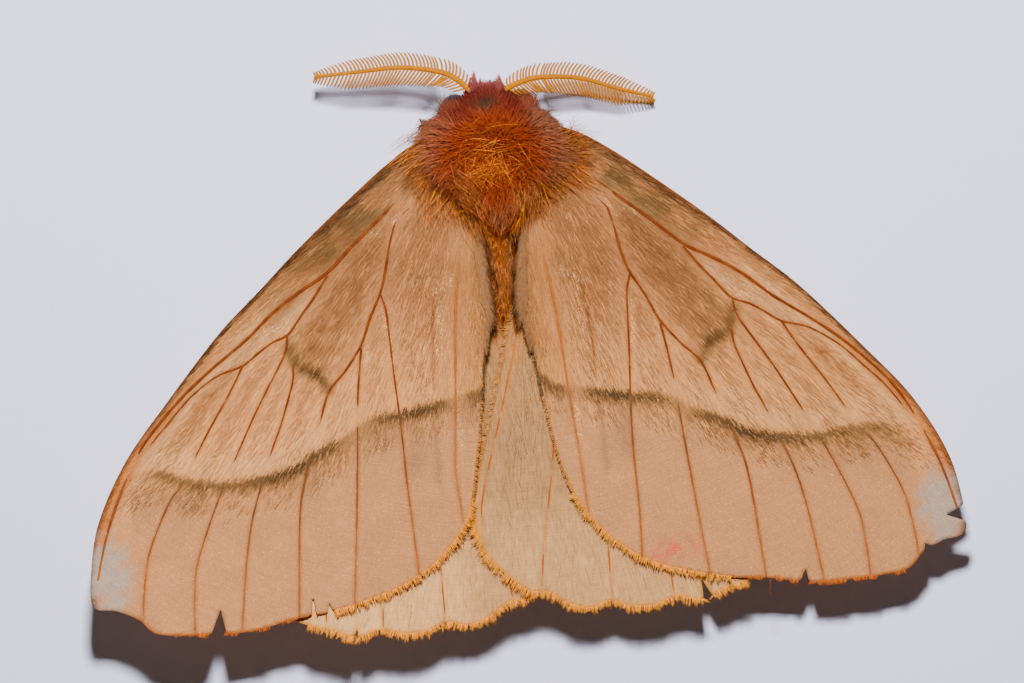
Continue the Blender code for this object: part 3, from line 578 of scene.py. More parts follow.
def make_wing(name, side):
    obj, x, y = trimmed_grid(name, wing_outline(name, side))
    mesh = obj.data
    colours, vein_gap = wing_colours(name, side, x, y)
    height = wing_top(name, side, x, y) - PLEAT * ease(vein_gap, 0.0, PLEAT_WIDTH)
    mesh.vertices.foreach_set("co", place(np.column_stack([x, y, height])).ravel())
    paint(obj, colours)
    fore = "fore" in name
    fields = {
        "past_band": past_on(name, x, y),
        "band_strength": band_strength(x) * fore,
        # Share of painted glints, from the glint spots, on the forewings only.
        "painted_glint_share": fore * sum(bell(np.abs(x) - across, wide) * bell(y - along, long)
                            for across, along, wide, long in PAINTED_GLINT_SPOTS),
    }
    for field, values in fields.items():
        mesh.attributes.new(field, "FLOAT", "POINT").data.foreach_set("value", values.astype(np.float32))
    out, back = np.abs(x) - ROOT_X + 2.0, ROOT_Y + 3.0 - y
    lie = np.column_stack([np.arctan2(out, back) * 14.0, np.hypot(out, back)])
    corners = np.empty(len(mesh.loops), np.int32)
    mesh.loops.foreach_get("vertex_index", corners)
    while mesh.uv_layers:
        mesh.uv_layers.remove(mesh.uv_layers[0])
    mesh.uv_layers.new(name="Lie").data.foreach_set("uv", lie[corners].astype(np.float32).ravel())
    thick = obj.modifiers.new("thick", "SOLIDIFY")
    thick.thickness = MEMBRANE * MM
    thick.offset = -1.0
    bpy.ops.object.modifier_apply(modifier=thick.name)
    mesh.shade_smooth()
    fit(obj, scale_finish, wing_slot(name), name)


for side in SIDES:
    make_wing(f"forewing_{side}", side)
    make_wing(f"hindwing_{side}", side)


# Wing veins
# Chitin ribs that stiffen the membrane, covered in rust-orange scales. Each is a thin tube along
# its curve, sunk half way into the membrane. It thins to the margin, and dives out of sight
# under the pale scales just before the band.
VEIN_SIDES = 8
VEIN_RADIUS = 0.085
THICK_VEINS = {"radius": 0.15, "cubitus": 0.11, "sector": 0.1}
VEIN_LIFT, VEIN_DIVE, VEIN_WAVE = 0.02, 0.12, 0.06


def mesh_object(name, points, triangles):
    """A new object from arrays of points, in millimetres, and triangles."""
    mesh = bpy.data.meshes.new(name)
    mesh.vertices.add(len(points))
    mesh.vertices.foreach_set("co", place(points).astype(np.float32).ravel())
    mesh.loops.add(triangles.size)
    mesh.loops.foreach_set("vertex_index", triangles.astype(np.int32).ravel())
    mesh.polygons.add(len(triangles))
    mesh.polygons.foreach_set("loop_start", np.arange(0, triangles.size, 3, dtype=np.int32))
    mesh.polygons.foreach_set("use_smooth", np.ones(len(triangles), bool))
    mesh.update(calc_edges=True)
    obj = bpy.data.objects.new(name, mesh)
    bpy.context.scene.collection.objects.link(obj)
    return obj


def unit(vectors):
    return vectors / (np.linalg.norm(vectors, axis=-1, keepdims=True) + 1e-12)


def tubes(spines, radii, sides, flatten=1.0):
    """Closed tubes that end in a point, as points and triangles. Spines is strands x rings x 3."""
    spines, radii = np.asarray(spines, float), np.asarray(radii, float)
    count, rings = spines.shape[:2]
    along = unit(np.gradient(spines, axis=1))
    side = np.cross(along, (0.0, 0.0, 1.0))
    side += (np.linalg.norm(side, axis=2, keepdims=True) < 1e-3) * np.array((1.0, 0.0, 0.0))
    side = unit(side)
    up = np.cross(side, along)
    turns = 2 * np.pi * np.arange(sides) / sides
    rim = side[:, :, None] * np.cos(turns)[:, None]
    rim = rim + up[:, :, None] * np.sin(turns)[:, None] * flatten
    ringed = spines[:, :-1, None] + rim[:, :-1] * radii[:, :-1, None, None]
    points = np.concatenate([ringed.reshape(count, -1, 3), spines[:, -1:]], axis=1)
    one = []
    for ring in range(rings - 2):
        for k in range(sides):
            a, b = ring * sides + k, ring * sides + (k + 1) % sides
            one += [(a, b, b + sides), (a, b + sides, a + sides)]
    last, tip = (rings - 2) * sides, (rings - 1) * sides
    one += [(last + k, last + (k + 1) % sides, tip) for k in range(sides)]
    one += [(0, k + 1, k) for k in range(1, sides - 1)]
    per = points.shape[1]
    triangles = np.array(one)[None] + (np.arange(count) * per)[:, None, None]
    return points.reshape(-1, 3), triangles.reshape(-1, 3), per


def joined(parts):
    """Several pairs of points and triangles as one pair."""
    points, triangles, first = [], [], 0
    for some, faces in parts:
        points.append(some)
        triangles.append(faces + first)
        first += len(some)
    return np.vstack(points), np.vstack(triangles)


def tint_material(name, roughness, specular, grain_scale=5000.0, grain=0.2):
    """Hairs and scales that carry their own colour, a little uneven along their length."""
    made, tree, shader = new_material(name, roughness, specular)
    tint = put(tree, "VertexColor", layer_name="tint").outputs["Color"]
    level = ranged(tree, fixed_noise(tree, grain_scale, 2.0), 0.25, 0.75, 1.0 - grain, 1.0 + grain)
    tree.links.new(multiplied(tree, tint, level), shader.inputs["Base Color"])
    return made


vein_finish = tint_material("vein_scales", 0.7, 0.08, 2500.0)


def lay_veins(name, side):
    outline = wing_outline(name, side)
    parts, colours = [], []
    for vein, line in wing_veins(name, side).items():
        line = line[inside(outline, line[:, 0], line[:, 1])]
        x, y = line[:, 0], line[:, 1]
        share = np.linspace(0.0, 1.0, len(line))
        past = past_on(name, x, y)
        hidden = 0.0 if vein in ("anal", "cubitus_hind") else 0.6 * bell(past + 0.9, 0.9)
        radii = THICK_VEINS.get(vein, VEIN_RADIUS) * (1 - 0.4 * share) * (1 - 0.8 * hidden)
        bare = 5.2 if vein == "anal" else 3.5
        from_root = np.hypot(np.abs(x) - ROOT_X, y - ROOT_Y)
        covered = 1 - ease(from_root, bare, bare + 5.0) if "fore" in name else 0.2
        sunk = VEIN_DIVE * np.maximum(hidden, covered) + VEIN_WAVE * blotch(x, y, 1.5, 17)
        line = np.column_stack([x, y, wing_top(name, side, x, y) + VEIN_LIFT - sunk])
        points, triangles, _ = tubes(line[None], radii[None], VEIN_SIDES, 0.8)
        shade = layered(RUST, len(x), (
            (UMBER, 0.8 * plateau(past, -0.5, 0.2, 1.0, 6.0)),
            (ORANGE, 0.6 * ease(past, 2.0, 7.0) + (vein == "anal") * 0.7 + ("hind" in name) * 0.55),
            (ORANGE, 0.22 * blotch(x, y, 1.1, 18)),
        ))
        parts.append((points, triangles))
        colours.append(np.vstack([np.repeat(shade[:-1], VEIN_SIDES, axis=0), shade[-1:]]))
    points, triangles = joined(parts)
    obj = mesh_object(f"{name}_veins", points, triangles)
    paint(obj, np.vstack(colours))
    fit(obj, vein_finish, wing_slot(name))


for side in SIDES:
    lay_veins(f"forewing_{side}", side)
    lay_veins(f"hindwing_{side}", side)


# Wing hair
# Long hair-like scales lie flat on the inner two thirds of each wing and streak it from the root.
# Each is a closed tapered strand that keeps the colour of the field where it grows.
DRAW = np.random.default_rng(20)
PATCH = 0.003
HAIR_RINGS, HAIR_SIDES = 4, 3
WING_HAIRS = {"forewing": 10400, "hindwing": 2200}
WING_HAIR_LENGTH = {"forewing": 1.1, "hindwing": 1.5}
WING_HAIR_RADIUS = 0.0195
WING_HAIR_SINK = 0.02
wing_hair_finish = tint_material("wing_hair", 0.8, 0.05, grain=0.12)


def hairs(name, spines, radius, colours, slot, unwrap, finish, painted_shading=(0.8, 1.15)):
    """One piece of closed strands, each with its colour and its own patch on the unwrap."""
    rings = spines.shape[1]
    taper = (1.0 - np.linspace(0.0, 1.0, rings) ** 1.6) * 0.85 + 0.15
    radii = np.broadcast_to(radius, len(spines))[:, None] * taper
    points, triangles, per = tubes(spines, radii, HAIR_SIDES)
    obj = mesh_object(name, points, triangles)
    # Painted shade towards the root of each strand and painted light towards its tip.
    ring = np.minimum(np.arange(per) // HAIR_SIDES, rings - 1) / (rings - 1)
    shade = painted_shading[0] + (painted_shading[1] - painted_shading[0]) * ring
    paint(obj, (colours[:, None] * shade[:, None]).reshape(-1, 3))
    turn = 2 * np.pi * (np.arange(per) % HAIR_SIDES) / HAIR_SIDES
    patch = np.column_stack([0.5 + 0.5 * np.cos(turn) * (1 - 0.5 * ring), ring]) * PATCH
    uv = (unwrap[:, None] + patch).reshape(-1, 2)[triangles.ravel()]
    obj.data.uv_layers.new(name="OFBake").data.foreach_set("uv", uv.astype(np.float32).ravel())
    fit(obj, finish, slot)


def varied(colours, swing, count=None):
    """The colours, or one colour for a count of hairs, each lighter or darker by chance."""
    colours = np.asarray(colours) if count is None else np.tile(colours, (count, 1))
    return colours * np.exp(DRAW.normal(0.0, swing, (len(colours), 1)))


def wing_unwrap(x, y):
    """The wing seen from above, scaled to fit."""
    return np.column_stack([(x + 34.0) / 68.0, (y + 36.0) / 42.0]) * 0.99


def hair_way(x, y, side):
    """Which way the hair of the wing runs: away from a point near the wing root."""
    out, back = np.abs(x) - ROOT_X + 2.0, y - ROOT_Y - 3.0
    return unit(np.column_stack([out * SIDES[side], back]))


def flat_spines(name, side, x, y, way, length, rise, bend=0.12):
    """Strands that run along the way in plan and hug the wing."""
    t = np.linspace(0.0, 1.0, HAIR_RINGS)[None, :, None]
    across = np.column_stack([-way[:, 1], way[:, 0]])[:, None]
    curl = (DRAW.normal(size=len(x)) * bend)[:, None, None]
    run = (way[:, None] * t + across * curl * t * t) * length[:, None, None]
    plan = np.column_stack([x, y])[:, None] + run
    bow = rise[:, None] * np.sin(np.pi * np.clip(t[..., 0] * 0.8 + 0.08, 0, 1))
    return np.dstack([plan, wing_top(name, side, plan[..., 0], plan[..., 1]) + bow - WING_HAIR_SINK])


def pick_on_wing(outline, count, wing):
    """Random places on the wing, more of them where its share of hairs is high."""
    low, high = outline.min(axis=0), outline.max(axis=0)
    found = []
    while sum(len(some) for some in found) < count:
        spots = DRAW.uniform(low, high, (count * 2, 2))
        spots = spots[inside(outline, spots[:, 0], spots[:, 1])]
        found.append(spots[DRAW.uniform(size=len(spots)) < hair_share(wing, spots[:, 0], spots[:, 1])])
    spots = np.vstack(found)[:count]
    return spots[:, 0], spots[:, 1]


def hair_share(wing, x, y):
    if wing == "hindwing":
        return (1 - ease(-y, 14.0, 24.0)) * (np.abs(x) < 7.0) + 0.05
    past = past_band(x, y)
    return np.where(past < -0.6, 1 - 0.5 * ease(past, -9.0, -1.0), 1 - ease(past, 0.8, 2.5))


def grow_wing_hair(wing, side):
    name = f"{wing}_{side}"
    outline = wing_outline(name, side)
    count, length = WING_HAIRS[wing], WING_HAIR_LENGTH[wing]
    x, y = pick_on_wing(outline, count, wing)
    past = past_on(name, x, y)
    long = length * DRAW.uniform(0.6, 1.2, count) * (1 - 0.45 * ease(past, -3.0, 0.0))
    way = unit(hair_way(x, y, side) + DRAW.normal(size=(count, 2)) * 0.08)
    on = inside(outline, x + way[:, 0] * long, y + way[:, 1] * long)
    x, y, long, way = x[on], y[on], long[on], way[on]
    mid_x, mid_y = x + way[:, 0] * long * 0.55, y + way[:, 1] * long * 0.55
    colours, _ = wing_colours(name, side, mid_x, mid_y)
    if wing == "forewing":
        band = bell(past_band(mid_x, mid_y) - 0.2, 0.42) * band_strength(x)
        colours = blend(colours, BAND_DARK, 0.8 * np.minimum(band, 1.0) * (DRAW.uniform(size=len(x)) < 0.85))
    colours = blend(varied(colours * 1.02, 0.045), ORANGE, 0.3 * (DRAW.uniform(size=len(x)) < 0.05))
    spines = flat_spines(name, side, x, y, way, long, DRAW.uniform(0.02, 0.05, len(x)))
    hairs(f"{name}_hair", spines, WING_HAIR_RADIUS, colours, wing_slot(name), wing_unwrap(x, y),
          wing_hair_finish, (0.95, 1.05))


for side in SIDES:
    for wing in WING_HAIRS:
        grow_wing_hair(wing, side)


# Wing fringes
# Amber hairs hem the hindwings and the inner corners of the forewings, worn short along the outer
# margins. Long tan ones hang from the forewings' inner margins over the abdomen.
HEM_GOLD = (0.78, 0.27, 0.012)
HEM_BROWN = (0.5, 0.19, 0.04)
HEM_OLIVE = (0.13, 0.075, 0.034)
HEM_TAN = (0.2, 0.088, 0.034)
HEM_RADIUS = 0.024
fringe_finish = tint_material("wing_fringe", 0.7, 0.08)


def hem(name, side, first, last, pitch, length_of, colour, inset=0.12, back_lean=0.35):
    """Strands along the outline, between two places on the plan, that point out from it."""
    outline = wing_outline(name, side)
    plan = FOREWING_PLAN if "fore" in name else HINDWING_PLAN
    ends = settled([plan[first], plan[last]], name, side)
    start, stop = (int(np.argmin(np.linalg.norm(outline - end, axis=1))) for end in ends)
    line = outline[start : stop + 1]
    run = np.linalg.norm(np.diff(line, axis=0), axis=1)
    along = np.concatenate([[0.0], np.cumsum(run)])
    at = DRAW.uniform(0, along[-1], int(along[-1] / pitch) * 2)
    x, y = (np.interp(at, along, line[:, axis]) for axis in (0, 1))
    slope = np.gradient(line, axis=0)
    run_way = unit(np.column_stack([np.interp(at, along, slope[:, axis]) for axis in (0, 1)]))
    outward = np.column_stack([-run_way[:, 1], run_way[:, 0]]) * SIDES[side]
    way = unit(outward + hair_way(x, y, side) * back_lean + DRAW.normal(size=(len(x), 2)) * 0.12)
    length = length_of(x, y) * DRAW.uniform(0.55, 1.15, len(x))
    whole = settled(smooth_line(plan, PLAN_STEP), name, side)
    keep = (length > 0.12) & (nearest_on([whole], x, y)[0] < 0.12)
    x, y, way, length = x[keep], y[keep], way[keep], length[keep]
    spines = flat_spines(name, side, x - way[:, 0] * inset, y - way[:, 1] * inset, way, length + inset,
                         DRAW.uniform(-0.03, 0.02, len(x)), 0.08)
    hairs(f"{name}_hem_{first}", spines, HEM_RADIUS, varied(colour, 0.15, len(x)), wing_slot(name),
          wing_unwrap(x, y), fringe_finish, (0.85, 1.15))


def even(value):
    """A measure that is the same at all places."""
    return lambda places, *_: np.full(len(places), value)


def scalloped(length):
    return lambda x, y: length * (0.55 + 0.65 * blotch(x, y, 0.5, 6))


def worn_short(x, y):
    return 0.34 * ease(blotch(x, y, 1.6, 6), 0.3, 0.8)


HEMS = (
    ("hindwing", 6, 19, 0.045, scalloped(0.64), HEM_GOLD),
    ("hindwing", 19, 24, 0.06, even(0.5), HEM_BROWN),
    ("forewing", 18, 23, 0.045, scalloped(0.55), HEM_GOLD),
    ("forewing", 14, 18, 0.05, worn_short, ORANGE),
    ("forewing", 23, 25, 0.05, even(0.18), HEM_BROWN),
    ("forewing", 25, 26, 0.05, even(0.2), HEM_OLIVE),
    ("forewing", 26, 27, 0.03, even(0.7), HEM_TAN, 0.3, 2.0),
    ("forewing", 27, 29, 0.012, even(1.9), HEM_TAN, 1.1, 2.6),
)
for side in SIDES:
    for wing, *run in HEMS:
        hem(f"{wing}_{side}", side, *run)


# Body skin
# Thorax, head and abdomen under the fur are one soft skin: three ovoids melted together. It only
# shows as a dark base between the hairs, and it lies inside the solids by the depth of their coat.
THORAX = ((0.0, 0.0, 5.9), (4.2, 4.8, 3.7), 0.0)
HEAD = ((-0.3, 4.5, 4.8), (1.75, 1.25, 1.7), 0.0)
ABDOMEN = ((0.0, -10.6, 2.8), (2.6, 8.0, 2.5), 0.12)
SKIN_VOXEL = 0.25
SKIN_DARK = (0.09, 0.02, 0.006)
SKIN_BROWN = (0.18, 0.042, 0.01)


def ovoid(centre, half, slope):
    deselect_all()
    bpy.ops.mesh.primitive_uv_sphere_add(segments=48, ring_count=24, radius=1.0)
    obj = bpy.context.object
    points = flat_points(obj.data) * half
    points[:, 2] += points[:, 1] * slope
    obj.data.vertices.foreach_set("co", place(points + centre).ravel())
    return obj


def two_tone(name, scale, detail, specular, first, second):
    """A rough material of two close colours in fine noise."""
    made, tree, shader = new_material(name, 0.8, specular)
    tree.links.new(mixed(tree, fixed_noise(tree, scale, detail), first, second), shader.inputs["Base Color"])
    return made


parts = [ovoid(*part) for part in (THORAX, HEAD, ABDOMEN)]
for part in parts:
    part.select_set(True)
bpy.context.view_layer.objects.active = parts[0]
bpy.ops.object.join()
skin = bpy.context.object
skin.name = "body_skin"
melt = skin.modifiers.new("melt", "REMESH")
melt.mode = "VOXEL"
melt.voxel_size = SKIN_VOXEL * MM
bpy.ops.object.modifier_apply(modifier=melt.name)
soften = skin.modifiers.new("soften", "SMOOTH")
soften.iterations = 8
bpy.ops.object.modifier_apply(modifier=soften.name)
skin.data.shade_smooth()
skin.data.materials.clear()
skin_finish = two_tone("skin_under_fur", 3000.0, 3.0, 0.05, SKIN_DARK, SKIN_BROWN)
fit(skin, skin_finish, "coat_red", "thorax", "head", "abdomen")


# Fur
# Hair-like scales, each a closed tapered strand rooted in the skin, drawn together in small tufts.
# They stand over the neck, sweep out over the wing roots and back to a point between the wings.
FUR_RED = (0.16, 0.02, 0.01)
FUR_RUST = (0.28, 0.036, 0.006)
FUR_ROSE = (0.34, 0.125, 0.058)
FUR_ORANGE = (0.4, 0.075, 0.003)
FUR_BROWN = (0.34, 0.105, 0.026)
FUR_GOLD = (0.66, 0.18, 0.008)
HEAD_RED = (0.17, 0.024, 0.018)
BROW_BROWN = (0.19, 0.048, 0.02)
HEAD_PINK = (0.26, 0.058, 0.048)
NECK_GREY = (0.062, 0.034, 0.017)
ABDOMEN_BROWN = (0.52, 0.13, 0.014)
FUR_PLAN = np.array((
    (-2.2, 5.5), (-3.75, 4.95), (-4.2, 4.5), (-5.4, 3.65), (-5.8, 3.2), (-6.4, 2.4), (-6.6, 1.6),
    (-6.3, 0.6), (-6.1, -0.4), (-5.6, -1.3), (-4.9, -1.9), (-3.3, -2.8), (-2.1, -3.8), (-1.0, -5.0),
    (-0.1, -5.8), (0.8, -5.0), (1.1, -4.1), (2.3, -3.0), (3.5, -2.2), (4.6, -2.0), (6.0, -1.9),
    (6.8, -1.0), (6.6, 0.3), (5.7, 1.9), (5.4, 2.4), (4.6, 3.3), (3.4, 4.2), (2.5, 5.0), (1.2, 6.0),
    (0.0, 6.3), (-1.4, 6.1),
))
THORAX_HAIRS, HEAD_HAIRS, ABDOMEN_HAIRS = 37000, 5400, 4400
HAIRS_TO_A_TUFT, TUFT_PULL = 30, 0.16
STRAND_WAVE = 0.12
ROOT_DEPTH = 0.15
# Painted shade at the roots and painted light at the tips of the coat hairs.
COAT_PAINTED_SHADING = (0.7, 1.2)
fur_finish = tint_material("fur", 0.75, 0.07)


def over_forewing(x, y):
    """Which points lie over a forewing, from its front edge and its inner margin."""
    flat_x = np.abs(x)
    costa = np.array(FOREWING_PLAN[:8])
    inner = np.array(FOREWING_PLAN[:-14:-1])
    before = y < np.interp(flat_x, costa[:, 0], costa[:, 1])
    beside = flat_x > np.interp(-y, -inner[:, 1], inner[:, 0])
    return before & beside


def keep_clear(points, above):
    """Lifts hairs off the wings that they lie over, and lowers those that grow under the wings."""
    x, y = points[..., 0], points[..., 1]
    top = forewing_top(x, y)
    over = over_forewing(x, y)
    lifted = np.maximum(points[..., 2], top + 0.06)
    lowered = np.minimum(points[..., 2], top - 2 * STACK_PITCH - MEMBRANE - 0.25)
    points[..., 2] = np.where(over, np.where(above, lifted, lowered), points[..., 2])
    points[..., 2] = np.maximum(points[..., 2], 0.1)
    return points


def strand_spines(roots, start, end, length):
    """Curved strands that leave along start and bend over to end, each with a wave of its own."""
    t = np.linspace(0.0, 1.0, HAIR_RINGS)[None, :, None]
    path = start[:, None] * t + (end - start)[:, None] * t * t / 2
    sway = unit(DRAW.normal(size=roots.shape))[:, None] * np.sin(np.pi * t) * STRAND_WAVE
    return roots[:, None] + (path + sway) * length[:, None, None]


def body_unwrap(roots):
    """Round the body and along it, the way a skin would be unrolled."""
    around = np.arctan2(roots[:, 0], roots[:, 2] - 4.5) / (2 * np.pi) + 0.5
    along = (roots[:, 1] + 20.0) / 28.0
    return np.column_stack([around, along]) * 0.99


def skin_roots(count, weight):
    """Random places on the skin, and its normals there. weight gives the share of hairs kept."""
    mesh = skin.data
    mesh.calc_loop_triangles()
    corners = np.empty(len(mesh.loop_triangles) * 3, np.int32)
    mesh.loop_triangles.foreach_get("vertices", corners)
    points = flat_points(mesh) / MM - (0.0, ORIGIN_BACK, 0.0)
    a, b, c = (points[corners.reshape(-1, 3)[:, k]] for k in range(3))
    cross = np.cross(b - a, c - a)
    chance = np.linalg.norm(cross, axis=1) * weight((a + b + c) / 3)
    picked = DRAW.choice(len(a), count, p=chance / chance.sum())
    u, v = DRAW.uniform(size=(2, count))
    flip = u + v > 1
    u[flip], v[flip] = 1 - u[flip], 1 - v[flip]
    spots = a[picked] + (b - a)[picked] * u[:, None] + (c - a)[picked] * v[:, None]
    return spots, unit(cross[picked])


def along_skin(way, normals):
    return unit(way - normals * np.sum(way * normals, axis=1, keepdims=True))


def tufted(spines, leads):
    """Draws every strand towards the nearest of the leading ones, more so at its tip."""
    chosen = DRAW.choice(len(spines), leads, replace=False)
    tree = KDTree(leads)
    for k, lead in enumerate(chosen):
        tree.insert(spines[lead, 0], k)
    tree.balance()
    nearest = chosen[[tree.find(root)[1] for root in spines[:, 0]]]
    t = np.linspace(0.0, 1.0, spines.shape[1])[None, :, None]
    return spines + (spines[nearest] - spines) * TUFT_PULL * t**1.5


def grow_fur(name, count, weight, lie, colour_of, length_of, radius, lift_of, slot, pieces=1, plan=None):
    spots, normals = skin_roots(count, weight)
    way = along_skin(lie(spots), normals)
    jitter = DRAW.normal(size=spots.shape) * 0.36
    lift = lift_of(spots)[:, None]
    start = unit(normals * lift + way * (1 - lift / 2) + jitter)
    end = unit(way + normals * lift / 3 + jitter)
    long = length_of(spots) * DRAW.uniform(0.7, 1.2, count)
    if plan is not None:
        travel = (start + end)[:, :2] / 2
        for _ in range(10):
            tips = spots[:, :2] + travel * long[:, None]
            long = np.where(inside(plan, tips[:, 0], tips[:, 1]) | (long < 0.9), long, long * 0.86)
        long = long * DRAW.uniform(0.85, 1.12, count)
    spines = strand_spines(spots - normals * ROOT_DEPTH, start, end, long)
    spines = tufted(spines, count // HAIRS_TO_A_TUFT)
    above = (spots[:, 2] > forewing_top(spots[:, 0], spots[:, 1]))[:, None]
    spines = keep_clear(spines, above)
    colours = colour_of(spots)
    thick = radius * DRAW.uniform(0.75, 1.25, count)
    for k in range(pieces):
        some = slice(k, None, pieces)
        hairs(f"{name}_{k + 1}", spines[some], thick[some], colours[some], slot, body_unwrap(spots[some]),
              fur_finish, COAT_PAINTED_SHADING)


def thorax_lie(p):
    forward = -1.0 + 1.8 * ease(p[:, 1], 0.2, 3.4)
    outward = p[:, 0] / 3.6 * (1.0 - 2.4 * ease(-p[:, 1], 0.3, 3.0))
    crown = bell(np.hypot(p[:, 0], p[:, 1] - 1.7), 1.3)[:, None]
    way = np.column_stack([outward * 1.2, forward, np.where(p[:, 2] > 6, -0.3, -0.6)])
    return way * (1 - 0.8 * crown) + DRAW.normal((0.2, -0.5, 0.0), (0.7, 0.5, 0.2), p.shape) * crown


def thorax_length(p):
    back = np.interp(p[:, 1], (-4.0, -1.0, 1.0, 2.6, 4.0), (3.2, 3.0, 2.6, 1.5, 1.4))
    side = np.where(p[:, 0] < 0, 3.4, 2.4)
    return back + side * ease(np.abs(p[:, 0]), 1.6, 3.4) * ease(p[:, 1], -1.0, 2.4)


def thorax_colours(p):
    x, y = p[:, 0], p[:, 1]
    middle = bell(x + 0.2, 2.9) * bell(y - 0.6, 2.7)
    flank = bell(np.abs(x) - 2.2 - 0.35 * (y + 2.0), 0.9) * ease(-y, 0.4, 2.0)
    patch = np.abs(x + 0.45) / 0.9 + np.abs(y - 3.9 - 0.25 * x) / 0.5
    colours = layered(FUR_ROSE, len(p), (
        (FUR_RED, ease(y, 1.8, 3.2) * (1 - 0.7 * ease(x, 1.4, 3.0)) * (1 - 0.5 * ease(-x, 2.6, 3.6))),
        (FUR_RUST, ease(middle, 0.2, 0.55)),
        (FUR_ORANGE, 0.85 * flank),
        (FUR_ORANGE, 0.9 * bell(x + 0.1, 1.5) * ease(-y, 2.6, 3.8)),
    )) * (1 + 0.75 * ease(-y, 2.2, 3.4))[:, None]
    colours = blend(colours, NECK_GREY, 0.95 * (1 - ease(patch, 0.7, 1.4)) * (p[:, 2] > 6.0))
    colours = blend(colours, FUR_GOLD, (DRAW.uniform(size=len(p)) < 0.02) * 0.5)
    return varied(colours * (0.85 + 0.3 * blotch(x, y, 2.0, 12))[:, None], 0.2)


def on_thorax(p):
    beyond_waist = -4.3 - 0.45 * (p[:, 2] - 5.0)
    before_neck = 4.3 + 0.35 * (p[:, 2] - 5.0)
    return ((p[:, 1] > beyond_waist - 0.5) & (p[:, 1] < before_neck + 0.4)).astype(float)


grow_fur("thorax_fur", THORAX_HAIRS, on_thorax, thorax_lie, thorax_colours, thorax_length, 0.0245,
         lambda p: 0.3 + 0.5 * bell(p[:, 1] - 2.4, 1.8), "coat_red", 4, FUR_PLAN)


def head_lie(p):
    return np.column_stack([0.3 * p[:, 0], np.full(len(p), 0.9), np.where(p[:, 2] > 5.0, -0.3, 0.2)])


def head_colours(p):
    dark = bell(p[:, 0] + 0.5, 1.1) * bell(p[:, 1] - 4.2, 0.5) * (p[:, 2] > 5.5)
    layers = ((HEAD_PINK, 0.8 * ease(p[:, 1], 4.9, 5.6)), (NECK_GREY, dark * 0.9))
    return varied(layered(HEAD_RED, len(p), layers), 0.22)


def on_head(p):
    before_neck = p[:, 1] > 4.3 + 0.35 * (p[:, 2] - 5.0) - 0.3
    by_eye = np.abs(p[:, 0] - HEAD[0][0]) > 1.65
    return (before_neck & ~by_eye).astype(float)


grow_fur("head_fur", HEAD_HAIRS, on_head, head_lie, head_colours, even(0.95), 0.02, even(0.8), "coat_red")


def abdomen_lie(p):
    return np.column_stack([0.07 * p[:, 0], np.full(len(p), -1.0), np.full(len(p), -0.12)])


def abdomen_colours(p):
    ring = 0.5 + 0.5 * np.sin((p[:, 1] + 3.0) * 2 * np.pi / 2.1)
    out = np.abs(p[:, 0])
    layers = ((FUR_ROSE, 0.5 * ease(out, 0.4, 1.8)), (NECK_GREY, 0.35 * ring * ease(out, 0.3, 1.2)))
    return varied(layered(ABDOMEN_BROWN, len(p), layers), 0.22)


def on_abdomen(p):
    return (p[:, 1] < -4.3 - 0.45 * (p[:, 2] - 5.0) + 0.4).astype(float)


grow_fur("abdomen_fur", ABDOMEN_HAIRS, on_abdomen, abdomen_lie, abdomen_colours, even(1.9), 0.034,
         even(0.45), "coat_orange")


# Long fur hairs
# Golden hairs lie tangled on the middle of the thorax and fan out over the wing roots, a tuft stands
# before each antenna, and a strip of orange hair runs back from the thorax between the wings.
LONG_RINGS = 5
TANGLE_HAIRS, TUFT_HAIRS, STRIP_HAIRS = 170, 170, 2700
SHOULDER_FANS = {
    "left": (((-5.0, 2.3), (-7.3, 0.7)), ((-4.6, 1.1), (-7.0, -0.5)), ((-5.0, 0.2), (-6.2, -1.5)),
             ((-4.3, -0.8), (-5.7, -2.9)), ((-4.6, -1.9), (-5.1, -3.8)), ((-4.6, -0.2), (-4.0, -1.9)),
             ((-3.5, -0.5), (-1.7, -2.5)), ((-3.0, -1.9), (-1.8, -3.6)), ((-2.6, -2.2), (-1.9, -4.6)),
             ((-1.9, -3.0), (-1.1, -5.4)), ((-3.7, -1.4), (-3.4, -3.6))),
    "right": (((3.2, -1.0), (4.9, -2.8)), ((4.0, -0.3), (5.9, -1.2)), ((4.4, -0.4), (7.1, -2.5)),
              ((5.2, -0.4), (5.8, -2.1)), ((4.6, 0.9), (6.9, 1.8)), ((2.7, -2.4), (2.9, -4.3)),
              ((3.5, -1.3), (3.7, -3.0)), ((5.0, 0.4), (7.2, 0.1)), ((1.9, -2.2), (1.6, -4.7)),
              ((1.2, -2.9), (0.7, -5.4)), ((2.7, -1.7), (3.0, -3.7))),
}
SHOULDER_HAIRS = (("brown", 1200, FUR_BROWN, 0.55, (0.5, 0.95), 0.02),
                  ("gold", 115, FUR_GOLD, 0.5, (0.8, 1.1), 0.026))
BROW_HAIRS = {"left": 540, "right": 700}
TUFTS = {"left": ((-1.36, 5.45), (-1.11, 6.71)), "right": ((0.59, 5.3), (0.68, 6.35))}
STRIP_AT = (3.8, 5.35, 6.5, 7.4, 9.2)
STRAY_TIPS = ((6.2, 2.7), (6.3, 3.25), (5.25, 3.0), (6.5, 2.9), (6.7, 1.9), (5.8, 3.3), (6.6, 2.4))


def laid_hairs(name, roots, tips, colour, radius, slot, wave=0.12, bow=0.15, swing=0.2):
    """Strands from roots to tips, each bowed up and swayed aside in its middle."""
    t = np.linspace(0.0, 1.0, LONG_RINGS)[None, :, None]
    run = (tips - roots)[:, None]
    sway = unit(DRAW.normal(size=roots.shape))[:, None] * wave + (0.0, 0.0, bow)
    spines = roots[:, None] + run * t + sway * np.sin(np.pi * t) * np.linalg.norm(run, axis=2, keepdims=True)
    hairs(name, keep_clear(spines, True), radius, varied(colour, swing, len(roots)), slot,
          body_unwrap(roots), fur_finish, COAT_PAINTED_SHADING)


